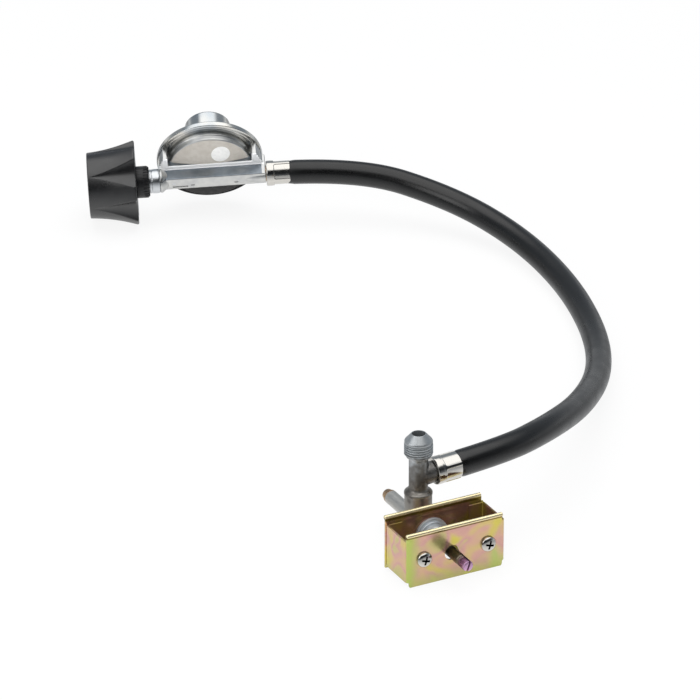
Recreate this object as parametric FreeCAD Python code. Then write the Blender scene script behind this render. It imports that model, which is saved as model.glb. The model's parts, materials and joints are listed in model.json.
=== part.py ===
import FreeCAD, Part
import math
import os

V = FreeCAD.Vector

# Where the two ends lie on the table, in mm. The row frame has its origin on the table, at the middle of
# the object without its hose. The bracket stands square to it and the regulator lies askew.
bracket_x = -53.73
bracket_y = -257.1
regulator_x = 36.27
regulator_y = 225.9
regulator_z = 27.97
regulator_yaw = -24.5
regulator_pitch = 3.0
diaphragm_tilt = 25.0

# Hose, and the points that its centreline turns at. The first and the last point and their neighbours
# come from the two hose ends.
hose_radius = 7.55
hose_bore_radius = 4.75
hose_crimped_radius = 6.95
route_points = [
    (161.7, 144, 20.5),
    (179.7, 92, 11.7),
    (177.7, 29, 7.55),
    (158.7, -39, 7.55),
    (127.7, -99, 14.2),
    (82.7, -156, 29),
    (36.2, -198.9, 43.6),
]
regulator_lead = 55
valve_lead = 42

# Ferrules and barbs. A ferrule's closed end is at 0 and its mouth is at its length.
ferrule_length = 14.7
ferrule_wall = 0.6
ferrule_shoulder_radius = 7.85
ferrule_ridge_radius = 7.75
ferrule_panel_radius = 7.5
ferrule_panel_start = 4.7
ferrule_panel_angle = 77
ferrule_panels = 4
regulator_panel_turn = 215
valve_panel_turn = 196
barb_radius = 4.75
barb_ridge_radius = 5.15
barb_bore_radius = 3.2
hose_end_gap = 0.9

# Coupling nut, on the regulator's gas axis. Positions are along that axis from the middle of the disc.
nut_front = -76.0
nut_rear = -46.2
nut_mouth_radius = 20.4
nut_waist = (-61.0, 22.3)
nut_wing_radius = 26.1
nut_wings = 6
nut_turn = 8
scoop_tip = (-75.0, 20.4)
scoop_axis_angle = 27.5
scoop_half_angle = 25.8
acme_major_radius = 16.7
acme_minor_radius = 15.9
acme_pitch = 5.08
acme_threads = 4
nut_wall_front = -53.0
nut_hole_radius = 8.2

# Inlet nipple, its nose and the flow limiter in it.
nipple_neck_radius = 7.0
running_gap = 0.06
nipple_radius = 7.55
nipple_thread_radius = 3.5
nipple_end = -22.0
collar_radius = 9.9
collar_rear = -38.0
collar_teeth = 30
nose_tip = -70.0
nose_radius = 6.6
nose_joint = -60.0
limiter_radius = 3.3
limiter_rear = -57.4
limiter_seat = -55.8
limiter_spring_seat = -49.0

# Regulator body. Depths are along the diaphragm's axis from the gas axis.
bar_left = -31.5
bar_right = 34.1
bar_half_width = 4.65
slot_left = -24.0
slot_right = -14.5
slot_half_width = 0.9
slot_depth = 0.35
mark_places = (-11.5, 15.5)
mark_half = 1.0
mark_depth = 0.25
bar_face = -3.9
bar_ledge = 4.5
web_half_width = 7.2
pad_inner = 26.0
pad_half_width = 14.0
dome_radius = 25.7
dome_edge = 8.2
dome_crown = 4.3
flange_radius = 31.3
flange_near = 14.7
flange_far = 16.4
chamber_radius = 22.0
chamber_floor = 9.8
pocket = (1.0, 10.5, 3.0, -2.6)
passage_radius = 2.2
orifice_tip = 3.0

# Bonnet with its tower.
lip_near = 13.7
lip_inner_radius = 27.4
rim_radius = 32.9
rim_far = 16.9
tower_radius = 14.2
tower_end = 42.5
tower_bore_radius = 11.8
vent_y = 24.5
vent_radius = 2.2
vent_boss_radius = 3.6
vent_boss_end = 25.2
diaphragm_far = 17.2

# Lever in the low-pressure chamber.
pivot_x = 7.5
pivot_z = 7.0
pin_radius = 1.0
arm_low = 10.4
arm_high = 11.4

# Valve. Its upright axis stands behind the bracket's front panel and the stem lies across it.
stem_x = -2.4
stem_z = 15.6
valve_y = 38.8
valve_barrel_radius = 7.6
valve_barrel_top = 35.9
neck_radius = 5.3
port_z = 44.5
port_pitch = 3.0
port_arm_radius = 6.3
port_ferrule_start = 9.1
flare_thread_radius = 7.94
flare_thread_pitch = 1.41
flare_threads = 5
flare_thread_low = 57.3
flare_cone_foot = 67.1
flare_top = 70.1
flare_bore_radius = 3.7
stub_z = 16.8
stub_radius = 4.0
stub_tip = 75.2
stem_radius = 3.1
stem_tip = -18.6
stem_serrations = 24
stem_collar = 20.8
gland_front = 17.0
gland_head_radius = 7.0
gland_step_radius = 8.2
gland_flange_radius = 9.8
gland_radius = 5.9
plug_front = 28.2
plug_rear = 44.6
plug_front_radius = 5.62
plug_rear_radius = 4.58

# Bracket.
sheet = 1.3
bracket_width = 60.4
bracket_depth = 24.3
bend_radius = 1.9
panel_corner = 1.3
side_low = 3.0
return_low = 1.6
side_top = 27.9
return_width = 9.6
rear_low = 1.3
hem_radius = 1.3
hem_z = 31.4
front_hem_gap = 2.0
rear_hem_gap = 1.3
screw_spacing = 39.2
screw_radius = 2.4
screw_head_radius = 4.5
stem_hole_radius = 4.4


def lathe(points):
    """A solid turned about the X axis. A point is (x, r), or (x, r, xm, rm) to reach it by an arc."""
    edges = []
    last = V(points[-1][0], points[-1][1], 0)
    for point in points:
        here = V(point[0], point[1], 0)
        if len(point) == 4:
            edges.append(Part.Arc(last, V(point[2], point[3], 0), here).toShape())
        elif here.distanceToPoint(last) > 1e-6:
            edges.append(Part.LineSegment(last, here).toShape())
        last = here
    face = Part.Face(Part.Wire(edges))
    return face.revolve(V(0, 0, 0), V(1, 0, 0), 360)


def lathe_z(points):
    """The same solid turned about the Z axis, from (z, r) points."""
    solid = lathe(points)
    solid.rotate(V(0, 0, 0), V(0, 1, 0), -90)
    return solid


def lathe_y(points):
    """The same solid turned about the Y axis, from (y, r) points."""
    solid = lathe(points)
    solid.rotate(V(0, 0, 0), V(0, 0, 1), 90)
    return solid


def block(x0, x1, y0, y1, z0, z1):
    return Part.makeBox(x1 - x0, y1 - y0, z1 - z0, V(x0, y0, z0))


def rod(start, end, radius):
    return Part.makeCylinder(radius, (end - start).Length, start, end - start)


def coil(radius, wire_radius, length, turns):
    """A compression spring along Z from 0, whose wire keeps clear of both ends by its radius."""
    pitch = (length - 2 * wire_radius) / turns
    path = Part.makeHelix(pitch, pitch * turns, radius)
    section = Part.Wire(Part.makeCircle(wire_radius, V(radius, 0, 0), V(0, 1, pitch / (2 * math.pi * radius))))
    spring = Part.Wire(path).makePipeShell([section], True, True)
    spring.translate(V(0, 0, wire_radius))
    return spring


regulator_place = FreeCAD.Placement(
    V(regulator_x, regulator_y, regulator_z),
    FreeCAD.Rotation(regulator_yaw, -regulator_pitch, diaphragm_tilt - 90),
)
valve_place = FreeCAD.Placement(V(bracket_x, bracket_y, 0), FreeCAD.Rotation())
port_in_valve = FreeCAD.Placement(V(stem_x, valve_y, port_z), FreeCAD.Rotation(0, -port_pitch, 0))
port_place = valve_place.multiply(port_in_valve)


def placed(solid, placement):
    moved = solid.copy()
    moved.Placement = placement.multiply(solid.Placement)
    return moved


# Coupling nut and inlet


def coupling_nut():
    """A nut whose round mouth flares into six wings, with a conical scoop between each two."""
    outline = [
        (nut_front, 0),
        (nut_front, nut_mouth_radius - 0.6),
        (nut_front + 0.6, nut_mouth_radius),
        (nut_rear - 1.1, nut_wing_radius, nut_waist[0], nut_waist[1]),
        (nut_rear, nut_wing_radius - 0.9),
        (nut_rear, 0),
    ]
    nut = lathe(outline)
    lean = math.radians(scoop_axis_angle)
    reach = 60.0
    base_radius = reach * math.tan(math.radians(scoop_half_angle))
    straight_down = -diaphragm_tilt
    for wing in range(nut_wings):
        scoop = Part.makeCone(0, base_radius, reach, V(*scoop_tip, 0), V(math.cos(lean), math.sin(lean), 0))
        scoop.rotate(V(0, 0, 0), V(1, 0, 0), straight_down - nut_turn + wing * 360 / nut_wings)
        nut = nut.cut(scoop)
    nut = nut.cut(rod(V(nut_front - 1, 0, 0), V(nut_wall_front, 0, 0), acme_minor_radius))
    nut = nut.cut(rod(V(nut_wall_front - 1, 0, 0), V(nut_rear + 1, 0, 0), nut_hole_radius))
    lead_in = lathe([(nut_front - 1, 0), (nut_front - 1, 18.2), (nut_front + 1.6, acme_minor_radius), (nut_front + 1.6, 0)])
    nut = nut.cut(lead_in)
    for turn in range(acme_threads):
        middle = nut_front + 3.2 + (turn + 0.5) * acme_pitch
        groove = lathe(
            [
                (middle - 1.5, acme_minor_radius - 0.5),
                (middle - 1.1, acme_major_radius),
                (middle + 1.1, acme_major_radius),
                (middle + 1.5, acme_minor_radius - 0.5),
            ]
        )
        nut = nut.cut(groove)
    return nut


def nut_collar():
    """The bush that the nut turns on the neck with: a spigot in the nut, a sleeve behind it, and fine teeth."""
    bore = nipple_neck_radius + running_gap
    collar = lathe(
        [
            (nut_wall_front, bore),
            (nut_wall_front, nut_hole_radius),
            (nut_rear, nut_hole_radius),
            (nut_rear, collar_radius - 0.3),
            (nut_rear + 0.3, collar_radius),
            (collar_rear - 1.4, collar_radius),
            (collar_rear - 0.2, collar_radius - 1.0),
            (collar_rear - 0.2, bore),
        ]
    )
    for tooth in range(collar_teeth):
        notch = block(collar_rear - 3.4, collar_rear + 0.1, -0.35, 0.35, collar_radius - 0.5, collar_radius + 1)
        notch.rotate(V(0, 0, 0), V(1, 0, 0), tooth * 360 / collar_teeth)
        collar = collar.cut(notch)
    return collar


def inlet_nipple():
    """The turned tube that joins the nut to the body. Its flange keeps the nut on."""
    return lathe(
        [
            (nose_joint, 5.4),
            (nose_joint, 9.0),
            (-55.6, 9.0),
            (-55.6, 11.0),
            (nut_wall_front - 0.4, 11.0),
            (nut_wall_front - 0.4, nipple_neck_radius),
            (collar_rear, nipple_neck_radius),
            (collar_rear, nipple_radius - 0.5),
            (collar_rear + 0.5, nipple_radius),
            (bar_left - 0.4, nipple_radius),
            (bar_left, nipple_radius - 0.4),
            (bar_left, nipple_thread_radius),
            (nipple_end, nipple_thread_radius),
            (nipple_end, passage_radius),
            (limiter_spring_seat, passage_radius),
            (limiter_spring_seat, 2.8),
            (limiter_seat, 2.8),
            (limiter_seat, 5.4),
        ]
    )


def nipple_nose():
    """The brass probe that seals in the tank valve."""
    return lathe(
        [
            (limiter_seat, 3.8),
            (limiter_seat, 5.4),
            (nose_joint, 5.4),
            (nose_joint, 8.0),
            (-62.0, 8.0),
            (-62.0, nose_radius),
            (-64.2, nose_radius),
            (-64.2, 5.2),
            (-66.2, 5.2),
            (-66.2, nose_radius),
            (-67.6, nose_radius),
            (nose_tip, 4.4),
            (nose_tip, 1.8),
            (-66.0, 1.8),
            (-66.0, 3.8),
        ]
    )


def nose_seal():
    return Part.makeTorus(6.1, 0.9, V(-65.2, 0, 0), V(1, 0, 0))


def flow_limiter():
    """The poppet that a sudden rush of gas pushes shut."""
    return lathe(
        [
            (limiter_rear - 8.0, 0),
            (limiter_rear - 8.0, 1.0),
            (limiter_rear - 5.0, 1.0),
            (limiter_rear - 3.4, limiter_radius),
            (limiter_rear - 0.4, limiter_radius),
            (limiter_rear, 2.7),
            (limiter_rear, 1.2),
            (limiter_rear + 4.4, 1.2),
            (limiter_rear + 4.4, 0),
        ]
    )


def limiter_spring():
    spring = coil(2.2, 0.3, limiter_spring_seat - limiter_rear, 6)
    spring.rotate(V(0, 0, 0), V(0, 1, 0), 90)
    spring.translate(V(limiter_rear, 0, 0))
    return spring


# Regulator


def regulator_body():
    """The cast half that holds the gas bar, the dome and the low-pressure chamber."""
    shell = lathe_z(
        [
            (flange_far, 0),
            (flange_far, flange_radius),
            (flange_near, flange_radius),
            (flange_near, 26.9),
            (11.7, 26.5),
            (11.4, 26.0),
            (dome_edge + 0.4, dome_radius),
            (dome_edge, dome_radius - 0.4),
            (dome_crown, 0, dome_crown + 1.0, 12.9),
        ]
    )
    bar = block(bar_left + 3.0, bar_right, -bar_half_width, bar_half_width, bar_face, chamber_floor)
    edges = [e for e in bar.Edges if abs(e.CenterOfMass.z - bar_face) < 0.01 and abs(e.CenterOfMass.y) > 1]
    bar = bar.makeChamfer(0.5, edges)
    web = block(bar_left + 1.5, bar_right - 2.0, -web_half_width, web_half_width, bar_ledge, chamber_floor)
    shoulder = lathe([(bar_left, 0), (bar_left, nipple_radius), (bar_left + 1.0, nipple_radius), (-26.5, 4.4), (-26.5, 0)])
    boss = lathe([(20.0, 0), (22.0, 4.3), (30.5, 5.3), (bar_right, 5.3), (bar_right, 0)])
    pads = block(-rim_radius, -pad_inner, -pad_half_width, pad_half_width, bar_ledge, flange_near)
    pads = pads.fuse(block(pad_inner, rim_radius, -pad_half_width, pad_half_width, bar_ledge, flange_near))
    pads = pads.common(rod(V(0, 0, 0), V(0, 0, flange_near), rim_radius - 0.6))
    pads = pads.cut(lathe_z([(13.4, lip_inner_radius - 0.3), (13.4, 40), (20, 40), (20, lip_inner_radius - 0.3)]))
    pads = pads.cut(rod(V(-40, 0, 0), V(bar_left, 0, 0), nipple_radius + 0.3))
    body = shell.fuse([bar, web, shoulder, boss, pads])
    body = body.cut(rod(V(0, 0, chamber_floor), V(0, 0, flange_far + 1), chamber_radius))
    body = body.cut(block(pocket[0], pocket[1], -pocket[2], pocket[2], pocket[3], chamber_floor + 1))
    body = body.cut(rod(V(0, 0, 7.6), V(0, 0, chamber_floor + 1), 3.0))
    body = body.cut(rod(V(bar_left - 1, 0, 0), V(nipple_end, 0, 0), nipple_thread_radius))
    body = body.cut(rod(V(nipple_end - 1, 0, 0), V(0, 0, 0), passage_radius))
    body = body.cut(rod(V(-9, 0, 0), V(pocket[0] + 1, 0, 0), 3.0))
    body = body.cut(rod(V(pocket[1] - 1, 0, 0), V(bar_right + 1, 0, 0), 2.6))
    body = body.cut(rod(V(24, 0, 0), V(bar_right + 1, 0, 0), 4.2))
    body = body.cut(rod(V(pivot_x, -4.0, pivot_z), V(pivot_x, 4.0, pivot_z), pin_radius))
    body = body.cut(block(pivot_x - pin_radius, pivot_x + pin_radius, -4.0, 4.0, pivot_z, chamber_floor + 1))
    slot = block(slot_left, slot_right, -slot_half_width, slot_half_width, bar_face - 1, bar_face + slot_depth)
    marks = [
        block(x - mark_half, x + mark_half, -mark_half, mark_half, bar_face - 1, bar_face + mark_depth)
        for x in mark_places
    ]
    return body.cut([slot] + marks)


def inlet_orifice():
    return lathe([(-9, 1.0), (-9, 3.0), (1.0, 3.0), (1.6, 1.9), (orifice_tip, 1.6), (orifice_tip, 1.0)])


def valve_lever():
    """The bell crank. Its down arm carries the seat and its long arm is forked round the diaphragm's post."""
    hub = rod(V(pivot_x, -2.6, pivot_z), V(pivot_x, 2.6, pivot_z), 2.1)
    down = block(5.2, 6.6, -2.6, 2.6, -2.2, pivot_z)
    up = block(6.8, 8.2, -2.6, 2.6, pivot_z, arm_high)
    arm = block(-2.6, 8.2, -2.6, 2.6, arm_low, arm_high)
    lever = hub.fuse([down, up, arm])
    lever = lever.cut(rod(V(pivot_x, -3, pivot_z), V(pivot_x, 3, pivot_z), pin_radius + 0.05))
    return lever.cut(block(-3, 1.3, -1.2, 1.2, arm_low - 1, arm_high + 1))


def lever_pin():
    return rod(V(pivot_x, -3.9, pivot_z), V(pivot_x, 3.9, pivot_z), pin_radius)


def seat_disc():
    return rod(V(orifice_tip + 0.65, 0, 0), V(5.2, 0, 0), 2.2)


def diaphragm():
    """The rubber disc, with one rolled convolution inside its clamped rim."""
    low = flange_far
    high = diaphragm_far
    return lathe_z(
        [
            (low, 1.5),
            (low, 20.0),
            (low, 25.0, low + 2.2, 22.5),
            (low, flange_radius),
            (high, flange_radius),
            (high, 25.4),
            (high, 19.6, high + 2.2, 22.5),
            (high, 1.5),
        ]
    )


def diaphragm_plate():
    return lathe_z(
        [
            (diaphragm_far, 1.5),
            (diaphragm_far, 17.2),
            (diaphragm_far + 0.6, 17.8),
            (diaphragm_far + 2.2, 17.8),
            (diaphragm_far + 2.2, 16.8),
            (diaphragm_far + 1.0, 16.4),
            (diaphragm_far + 1.0, 1.5),
        ]
    )


def diaphragm_post():
    """The rivet through plate and rubber. Its foot hooks under the lever's forked arm."""
    return lathe_z(
        [
            (9.2, 0),
            (9.2, 2.2),
            (10.2, 2.2),
            (10.2, 0.9),
            (11.6, 0.9),
            (11.6, 2.0),
            (15.4, 2.0),
            (15.6, 5.0),
            (flange_far, 5.0),
            (flange_far, 1.5),
            (diaphragm_far + 1.0, 1.5),
            (diaphragm_far + 1.0, 3.0),
            (diaphragm_far + 2.0, 2.4),
            (diaphragm_far + 2.0, 0),
        ]
    )


def main_spring():
    spring = coil(8.0, 0.8, 34.0 - diaphragm_far - 1.0, 5)
    spring.translate(V(0, 0, diaphragm_far + 1.0))
    return spring


def bonnet():
    """The far half: a rim rolled over the body's flange, a shoulder, and the spring's tower."""
    shell = lathe_z(
        [
            (lip_near, lip_inner_radius),
            (lip_near, 30.2),
            (lip_near + 0.2, 30.5),
            (lip_near, 30.8),
            (lip_near, rim_radius - 0.6),
            (lip_near + 0.6, rim_radius),
            (rim_far, rim_radius),
            (18.9, 30.6),
            (20.6, 28.6),
            (26.6, 16.4),
            (28.2, tower_radius),
            (tower_end - 1.4, tower_radius),
            (tower_end, tower_radius - 1.4, tower_end - 0.41, tower_radius - 0.41),
            (tower_end, tower_bore_radius),
            (27.2, tower_bore_radius),
            (25.4, 15.4),
            (19.4, 27.3),
            (diaphragm_far, 27.3),
            (diaphragm_far, flange_radius),
            (flange_near, flange_radius),
            (flange_near, lip_inner_radius),
        ]
    )
    vent = rod(V(0, vent_y, 18.0), V(0, vent_y, 30.0), vent_radius)
    boss = rod(V(0, vent_y, 19.6), V(0, vent_y, vent_boss_end), vent_boss_radius)
    boss = boss.cut(lathe_z([(19.4, 0), (19.4, 27.3), (25.4, 15.4), (25.4, 0)]))
    return shell.fuse(boss).cut(vent)


def vent_screen():
    return rod(V(0, vent_y, vent_boss_end - 1.6), V(0, vent_y, vent_boss_end - 1.1), vent_radius)


def adjusting_plug():
    """The threaded plug that sets the spring's load, with a slot for a driver."""
    plug = rod(V(0, 0, 34.0), V(0, 0, 37.6), tower_bore_radius)
    return plug.cut(block(-7.0, 7.0, -1.0, 1.0, 36.2, 38.0))


def tower_cap():
    """The cap that closes the tower, with a coin slot."""
    cap = lathe_z([(38.4, 0), (38.4, tower_bore_radius), (41.4, tower_bore_radius), (42.0, 11.0), (42.0, 0)])
    return cap.cut(block(-8.0, 8.0, -0.9, 0.9, 40.8, 43.0))


def label_disc():
    """A thin round label that follows the dome."""
    half = dome_radius - 0.4
    rise = dome_edge - dome_crown
    dome_curve = (half ** 2 + rise ** 2) / (2 * rise)
    centre = V(0, 0, dome_crown + dome_curve)
    skin = Part.makeSphere(dome_curve + 0.2, centre).cut(Part.makeSphere(dome_curve + 0.02, centre))
    return skin.common(rod(V(6.9, -14.1, 0), V(6.9, -14.1, 10), 5.8))


# Hose and its ends


def ferrule(panel_turn):
    """A crimped sleeve from 0: a rolled round end, then wide panels pressed on to the hose out to the mouth."""
    roll = 1.6
    middle = roll * (1 - math.sqrt(0.5))
    face = Part.Face(
        Part.makePolygon(
            [
                V(ferrule_panel_start, ferrule_panel_radius, 0),
                V(ferrule_panel_start, ferrule_shoulder_radius + 1, 0),
                V(ferrule_length + 1, ferrule_shoulder_radius + 1, 0),
                V(ferrule_length + 1, ferrule_panel_radius, 0),
                V(ferrule_panel_start, ferrule_panel_radius, 0),
            ]
        )
    )
    sleeve = lathe(
        [
            (0, barb_radius + 0.05),
            (0, ferrule_shoulder_radius - roll),
            (roll, ferrule_shoulder_radius, middle, ferrule_shoulder_radius - middle),
            (ferrule_panel_start - 1.2, ferrule_shoulder_radius),
            (ferrule_panel_start - 0.4, ferrule_ridge_radius),
            (ferrule_length, ferrule_ridge_radius),
            (ferrule_length, hose_crimped_radius),
            (ferrule_wall, hose_crimped_radius),
            (ferrule_wall, barb_radius + 0.05),
        ]
    )
    for panel in range(ferrule_panels):
        press = face.revolve(V(0, 0, 0), V(1, 0, 0), ferrule_panel_angle)
        press.rotate(V(0, 0, 0), V(1, 0, 0), panel_turn - ferrule_panel_angle / 2 + panel * 360 / ferrule_panels)
        sleeve = sleeve.cut(press)
    return sleeve


def barb_tail(start):
    """The profile of the barbed tail beyond a ferrule's closed end, from (x, r) points."""
    points = [(start, barb_radius)]
    for ridge in range(3):
        foot = start + 1.6 + ridge * 3.6
        points += [(foot, barb_radius), (foot + 0.1, barb_ridge_radius), (foot + 2.4, barb_radius)]
    return points + [(start + 13.2, barb_radius - 0.2), (start + 13.2, barb_bore_radius)]


def regulator_barb():
    return lathe([(24, barb_bore_radius), (24, 4.2), (bar_right, 4.2), (bar_right, barb_radius)] + barb_tail(bar_right + 0.2))


def valve_barb():
    """The barbed tube pressed into the valve's arm."""
    arm_end = port_ferrule_start - 0.1
    return lathe(
        [
            (3.5, barb_bore_radius),
            (3.5, 4.0),
            (arm_end, 4.0),
            (arm_end, barb_radius),
        ]
        + barb_tail(port_ferrule_start + 0.2)
    )


def hose_route():
    """The points that the hose's centreline turns at, from the regulator to the valve."""
    along = regulator_place.Rotation.multVec(V(1, 0, 0))
    inner = regulator_place.multVec(V(bar_right + 0.2 + hose_end_gap, 0, 0))
    port = port_place.Rotation.multVec(V(1, 0, 0))
    outer = port_place.multVec(V(port_ferrule_start + hose_end_gap, 0, 0))
    middle = [V(*point) for point in route_points]
    return [inner, inner + along * regulator_lead] + middle + [outer + port * valve_lead, outer]


def rounded_path(points):
    """Straight runs joined by tangent arcs, each as large as its two runs allow."""
    edges = []
    radii = []
    start = points[0]
    for before, here, after in zip(points, points[1:], points[2:]):
        inward = here - before
        outward = after - here
        reach = 0.45 * min(inward.Length, outward.Length)
        half = inward.getAngle(outward) / 2
        radius = reach / math.tan(half)
        u = inward.normalize()
        w = outward.normalize()
        first = here - u * reach
        last = here + w * reach
        middle = here + (w - u).normalize() * radius * (1 / math.cos(half) - 1)
        edges.append(Part.LineSegment(start, first).toShape())
        edges.append(Part.Arc(first, middle, last).toShape())
        radii.append(radius)
        start = last
    edges.append(Part.LineSegment(start, points[-1]).toShape())
    return Part.Wire(edges), radii


def swept(path, points, radius):
    section = Part.Wire(Part.makeCircle(radius, points[0], points[1] - points[0]))
    return path.makePipeShell([section], True, False)


def hose():
    """The hose with its bore. Both ends are crimped smaller, where the ferrules hold them."""
    points = hose_route()
    path, radii = rounded_path(points)
    tube = swept(path, points, hose_radius).cut(swept(path, points, hose_bore_radius))
    section = math.pi * (hose_radius ** 2 - hose_bore_radius ** 2)
    print("hose length", round(path.Length, 1), "tightest radii", [round(r) for r in radii])
    print("hose volume", round(tube.Volume), "section times length", round(section * path.Length))
    crimp = rod(V(-2, 0, 0), V(ferrule_length, 0, 0), hose_radius + 2)
    crimp = crimp.cut(rod(V(-3, 0, 0), V(ferrule_length + 1, 0, 0), hose_crimped_radius))
    tube = tube.cut(placed(crimp, regulator_place.multiply(FreeCAD.Placement(V(bar_right + 0.2, 0, 0), FreeCAD.Rotation()))))
    return tube.cut(placed(crimp, port_place.multiply(FreeCAD.Placement(V(port_ferrule_start, 0, 0), FreeCAD.Rotation()))))


# Valve


def valve_body():
    """The cast valve: a level barrel for the plug, an upright barrel, a neck and the flare fitting on top."""
    level = lathe_y(
        [
            (bracket_depth + sheet, 0),
            (bracket_depth + sheet, 9.0),
            (bracket_depth + sheet + 2.0, 9.0),
            (bracket_depth + sheet + 2.6, valve_barrel_radius),
            (46.0, valve_barrel_radius),
            (48.6, 4.6),
            (48.6, 0),
        ]
    )
    level.translate(V(stem_x, 0, stem_z))
    stub = rod(V(stem_x, valve_y + 2, stub_z), V(stem_x, stub_tip - 5.0, stub_z), stub_radius)
    thread = []
    for turn in range(flare_threads):
        foot = flare_thread_low + turn * flare_thread_pitch
        thread += [(foot, 7.1), (foot + 0.55, flare_thread_radius), (foot + 0.85, flare_thread_radius)]
    thread_top = flare_thread_low + flare_threads * flare_thread_pitch
    upright = lathe_z(
        [
            (stem_z, 0),
            (stem_z, valve_barrel_radius),
            (valve_barrel_top - 2.6, valve_barrel_radius),
            (valve_barrel_top - 2.3, valve_barrel_radius + 0.25),
            (valve_barrel_top - 1.0, valve_barrel_radius + 0.25),
            (valve_barrel_top - 0.3, valve_barrel_radius - 0.5),
            (valve_barrel_top + 1.2, neck_radius, valve_barrel_top, neck_radius + 1.0),
            (flare_thread_low - 2.6, neck_radius),
        ]
        + thread
        + [
            (thread_top, 7.1),
            (thread_top + 0.4, flare_thread_radius - 0.15),
            (thread_top + 1.5, flare_thread_radius - 0.15),
            (flare_cone_foot, 6.7, flare_cone_foot - 0.3, 7.4),
            (flare_top - 0.1, flare_bore_radius + 0.25),
            (flare_top, flare_bore_radius + 0.1),
            (flare_top, 0),
        ]
    )
    upright.translate(V(stem_x, valve_y, 0))
    arm_end = port_ferrule_start - 0.1
    arm = lathe(
        [
            (0, 0),
            (0, neck_radius - 0.5),
            (5.5, port_arm_radius, 2.7, port_arm_radius - 0.3),
            (arm_end, port_arm_radius - 0.4),
            (arm_end, 0),
        ]
    )
    body = level.fuse([stub, upright, placed(arm, port_in_valve)])
    plug_room = lathe_y(
        [
            (bracket_depth, 0),
            (bracket_depth, gland_radius),
            (plug_front - 0.3, gland_radius),
            (plug_front - 0.3, plug_front_radius + running_gap),
            (plug_rear, plug_rear_radius + running_gap),
            (plug_rear + 0.6, plug_rear_radius - 0.6),
            (plug_rear + 0.6, 0),
        ]
    )
    plug_room.translate(V(stem_x, 0, stem_z))
    outlet = rod(V(stem_x, 45, stub_z), V(stem_x, stub_tip, stub_z), 2.2)
    supply = rod(V(stem_x, valve_y, stem_z), V(stem_x, valve_y, 62), 2.4)
    mouth = rod(V(stem_x, valve_y, 60), V(stem_x, valve_y, flare_top + 1), flare_bore_radius)
    side = rod(V(0, 0, 0), V(arm_end + 1, 0, 0), 2.4).fuse(rod(V(3.5, 0, 0), V(arm_end + 1, 0, 0), 4.0))
    return body.cut([plug_room, outlet, supply, mouth, placed(side, port_in_valve)])


def outlet_spud():
    """The brass orifice at the end of the rear stub."""
    spud = lathe_y(
        [
            (stub_tip - 5.0, 0.5),
            (stub_tip - 5.0, stub_radius),
            (stub_tip - 3.4, stub_radius - 0.1),
            (stub_tip - 3.0, 3.4),
            (stub_tip - 0.5, 3.1),
            (stub_tip, 2.6),
            (stub_tip, 0.5),
        ]
    )
    spud.translate(V(stem_x, 0, stub_z))
    return spud


def valve_plug():
    """The tapered cock. A quarter turn brings its wide port to the supply, and a half turn its small one."""
    plug = lathe_y([(plug_front, 0), (plug_front, plug_front_radius), (plug_rear, plug_rear_radius), (plug_rear, 0)])
    plug = plug.cut(rod(V(0, valve_y - 1.2, 0), V(0, plug_rear + 1, 0), 1.5))
    plug = plug.cut(rod(V(0, valve_y, 0), V(7, valve_y, 0), 1.5))
    plug = plug.cut(rod(V(0, valve_y, 0), V(0, valve_y, -7), 0.6))
    plug = plug.cut(block(-2.4, 2.4, plug_front - 1, plug_front + 8.2, -1.2, 1.2))
    plug.translate(V(stem_x, 0, stem_z))
    return plug


def valve_stem():
    """The split stem that the knob fits. Its collar is held by the gland and its tongue drives the plug."""
    stem = lathe_y(
        [
            (stem_tip, 0),
            (stem_tip, stem_radius - 0.7),
            (stem_tip + 0.7, stem_radius),
            (stem_tip + 6.5, stem_radius),
            (stem_tip + 7.0, stem_radius - 0.25),
            (stem_tip + 8.0, stem_radius - 0.25),
            (stem_tip + 8.5, stem_radius),
            (stem_collar - 1.8, stem_radius),
            (stem_collar - 1.8, 3.7),
            (stem_collar, 3.7),
            (stem_collar, 2.3),
            (plug_front - 3.2, 2.3),
            (plug_front - 3.2, 0),
        ]
    )
    tongue = block(-2.1, 2.1, plug_front - 3.7, plug_front + 5.0, -1.0, 1.0)
    tongue = tongue.common(rod(V(0, plug_front - 4, 0), V(0, plug_front + 6, 0), 2.3))
    stem = stem.fuse(tongue)
    for serration in range(stem_serrations):
        nick = block(-0.16, 0.16, stem_tip - 1, stem_tip + 6.5, stem_radius - 0.22, stem_radius + 1)
        nick.rotate(V(0, 0, 0), V(0, 1, 0), serration * 360 / stem_serrations)
        stem = stem.cut(nick)
    split = block(-0.55, 0.55, stem_tip - 1, stem_tip + 10.5, -4, 4)
    split.rotate(V(0, 0, 0), V(0, 1, 0), 20)
    stem = stem.cut(split)
    stem.translate(V(stem_x, 0, stem_z))
    return stem


def stem_spring():
    spring = coil(3.1, 0.4, plug_front - stem_collar, 5)
    spring.rotate(V(0, 0, 0), V(1, 0, 0), -90)
    spring.translate(V(stem_x, stem_collar, stem_z))
    return spring


def gland():
    """The bush that screws into the valve, clamps the bracket's rear plate and keeps the stem in."""
    bush = lathe_y(
        [
            (gland_front, stem_radius + 0.25),
            (gland_front, gland_head_radius - 1.2),
            (gland_front + 1.2, gland_head_radius, gland_front + 0.35, gland_head_radius - 0.35),
            (bracket_depth - 2.8, gland_head_radius),
            (bracket_depth - 2.8, gland_step_radius - 0.4),
            (bracket_depth - 2.4, gland_step_radius),
            (bracket_depth - 1.6, gland_step_radius),
            (bracket_depth - 1.6, gland_flange_radius),
            (bracket_depth, gland_flange_radius),
            (bracket_depth, gland_radius),
            (plug_front - 0.4, gland_radius),
            (plug_front - 0.4, 4.0),
            (stem_collar - 1.9, 4.0),
            (stem_collar - 1.9, stem_radius + 0.25),
        ]
    )
    bush.translate(V(stem_x, 0, stem_z))
    return bush


# Bracket


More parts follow.
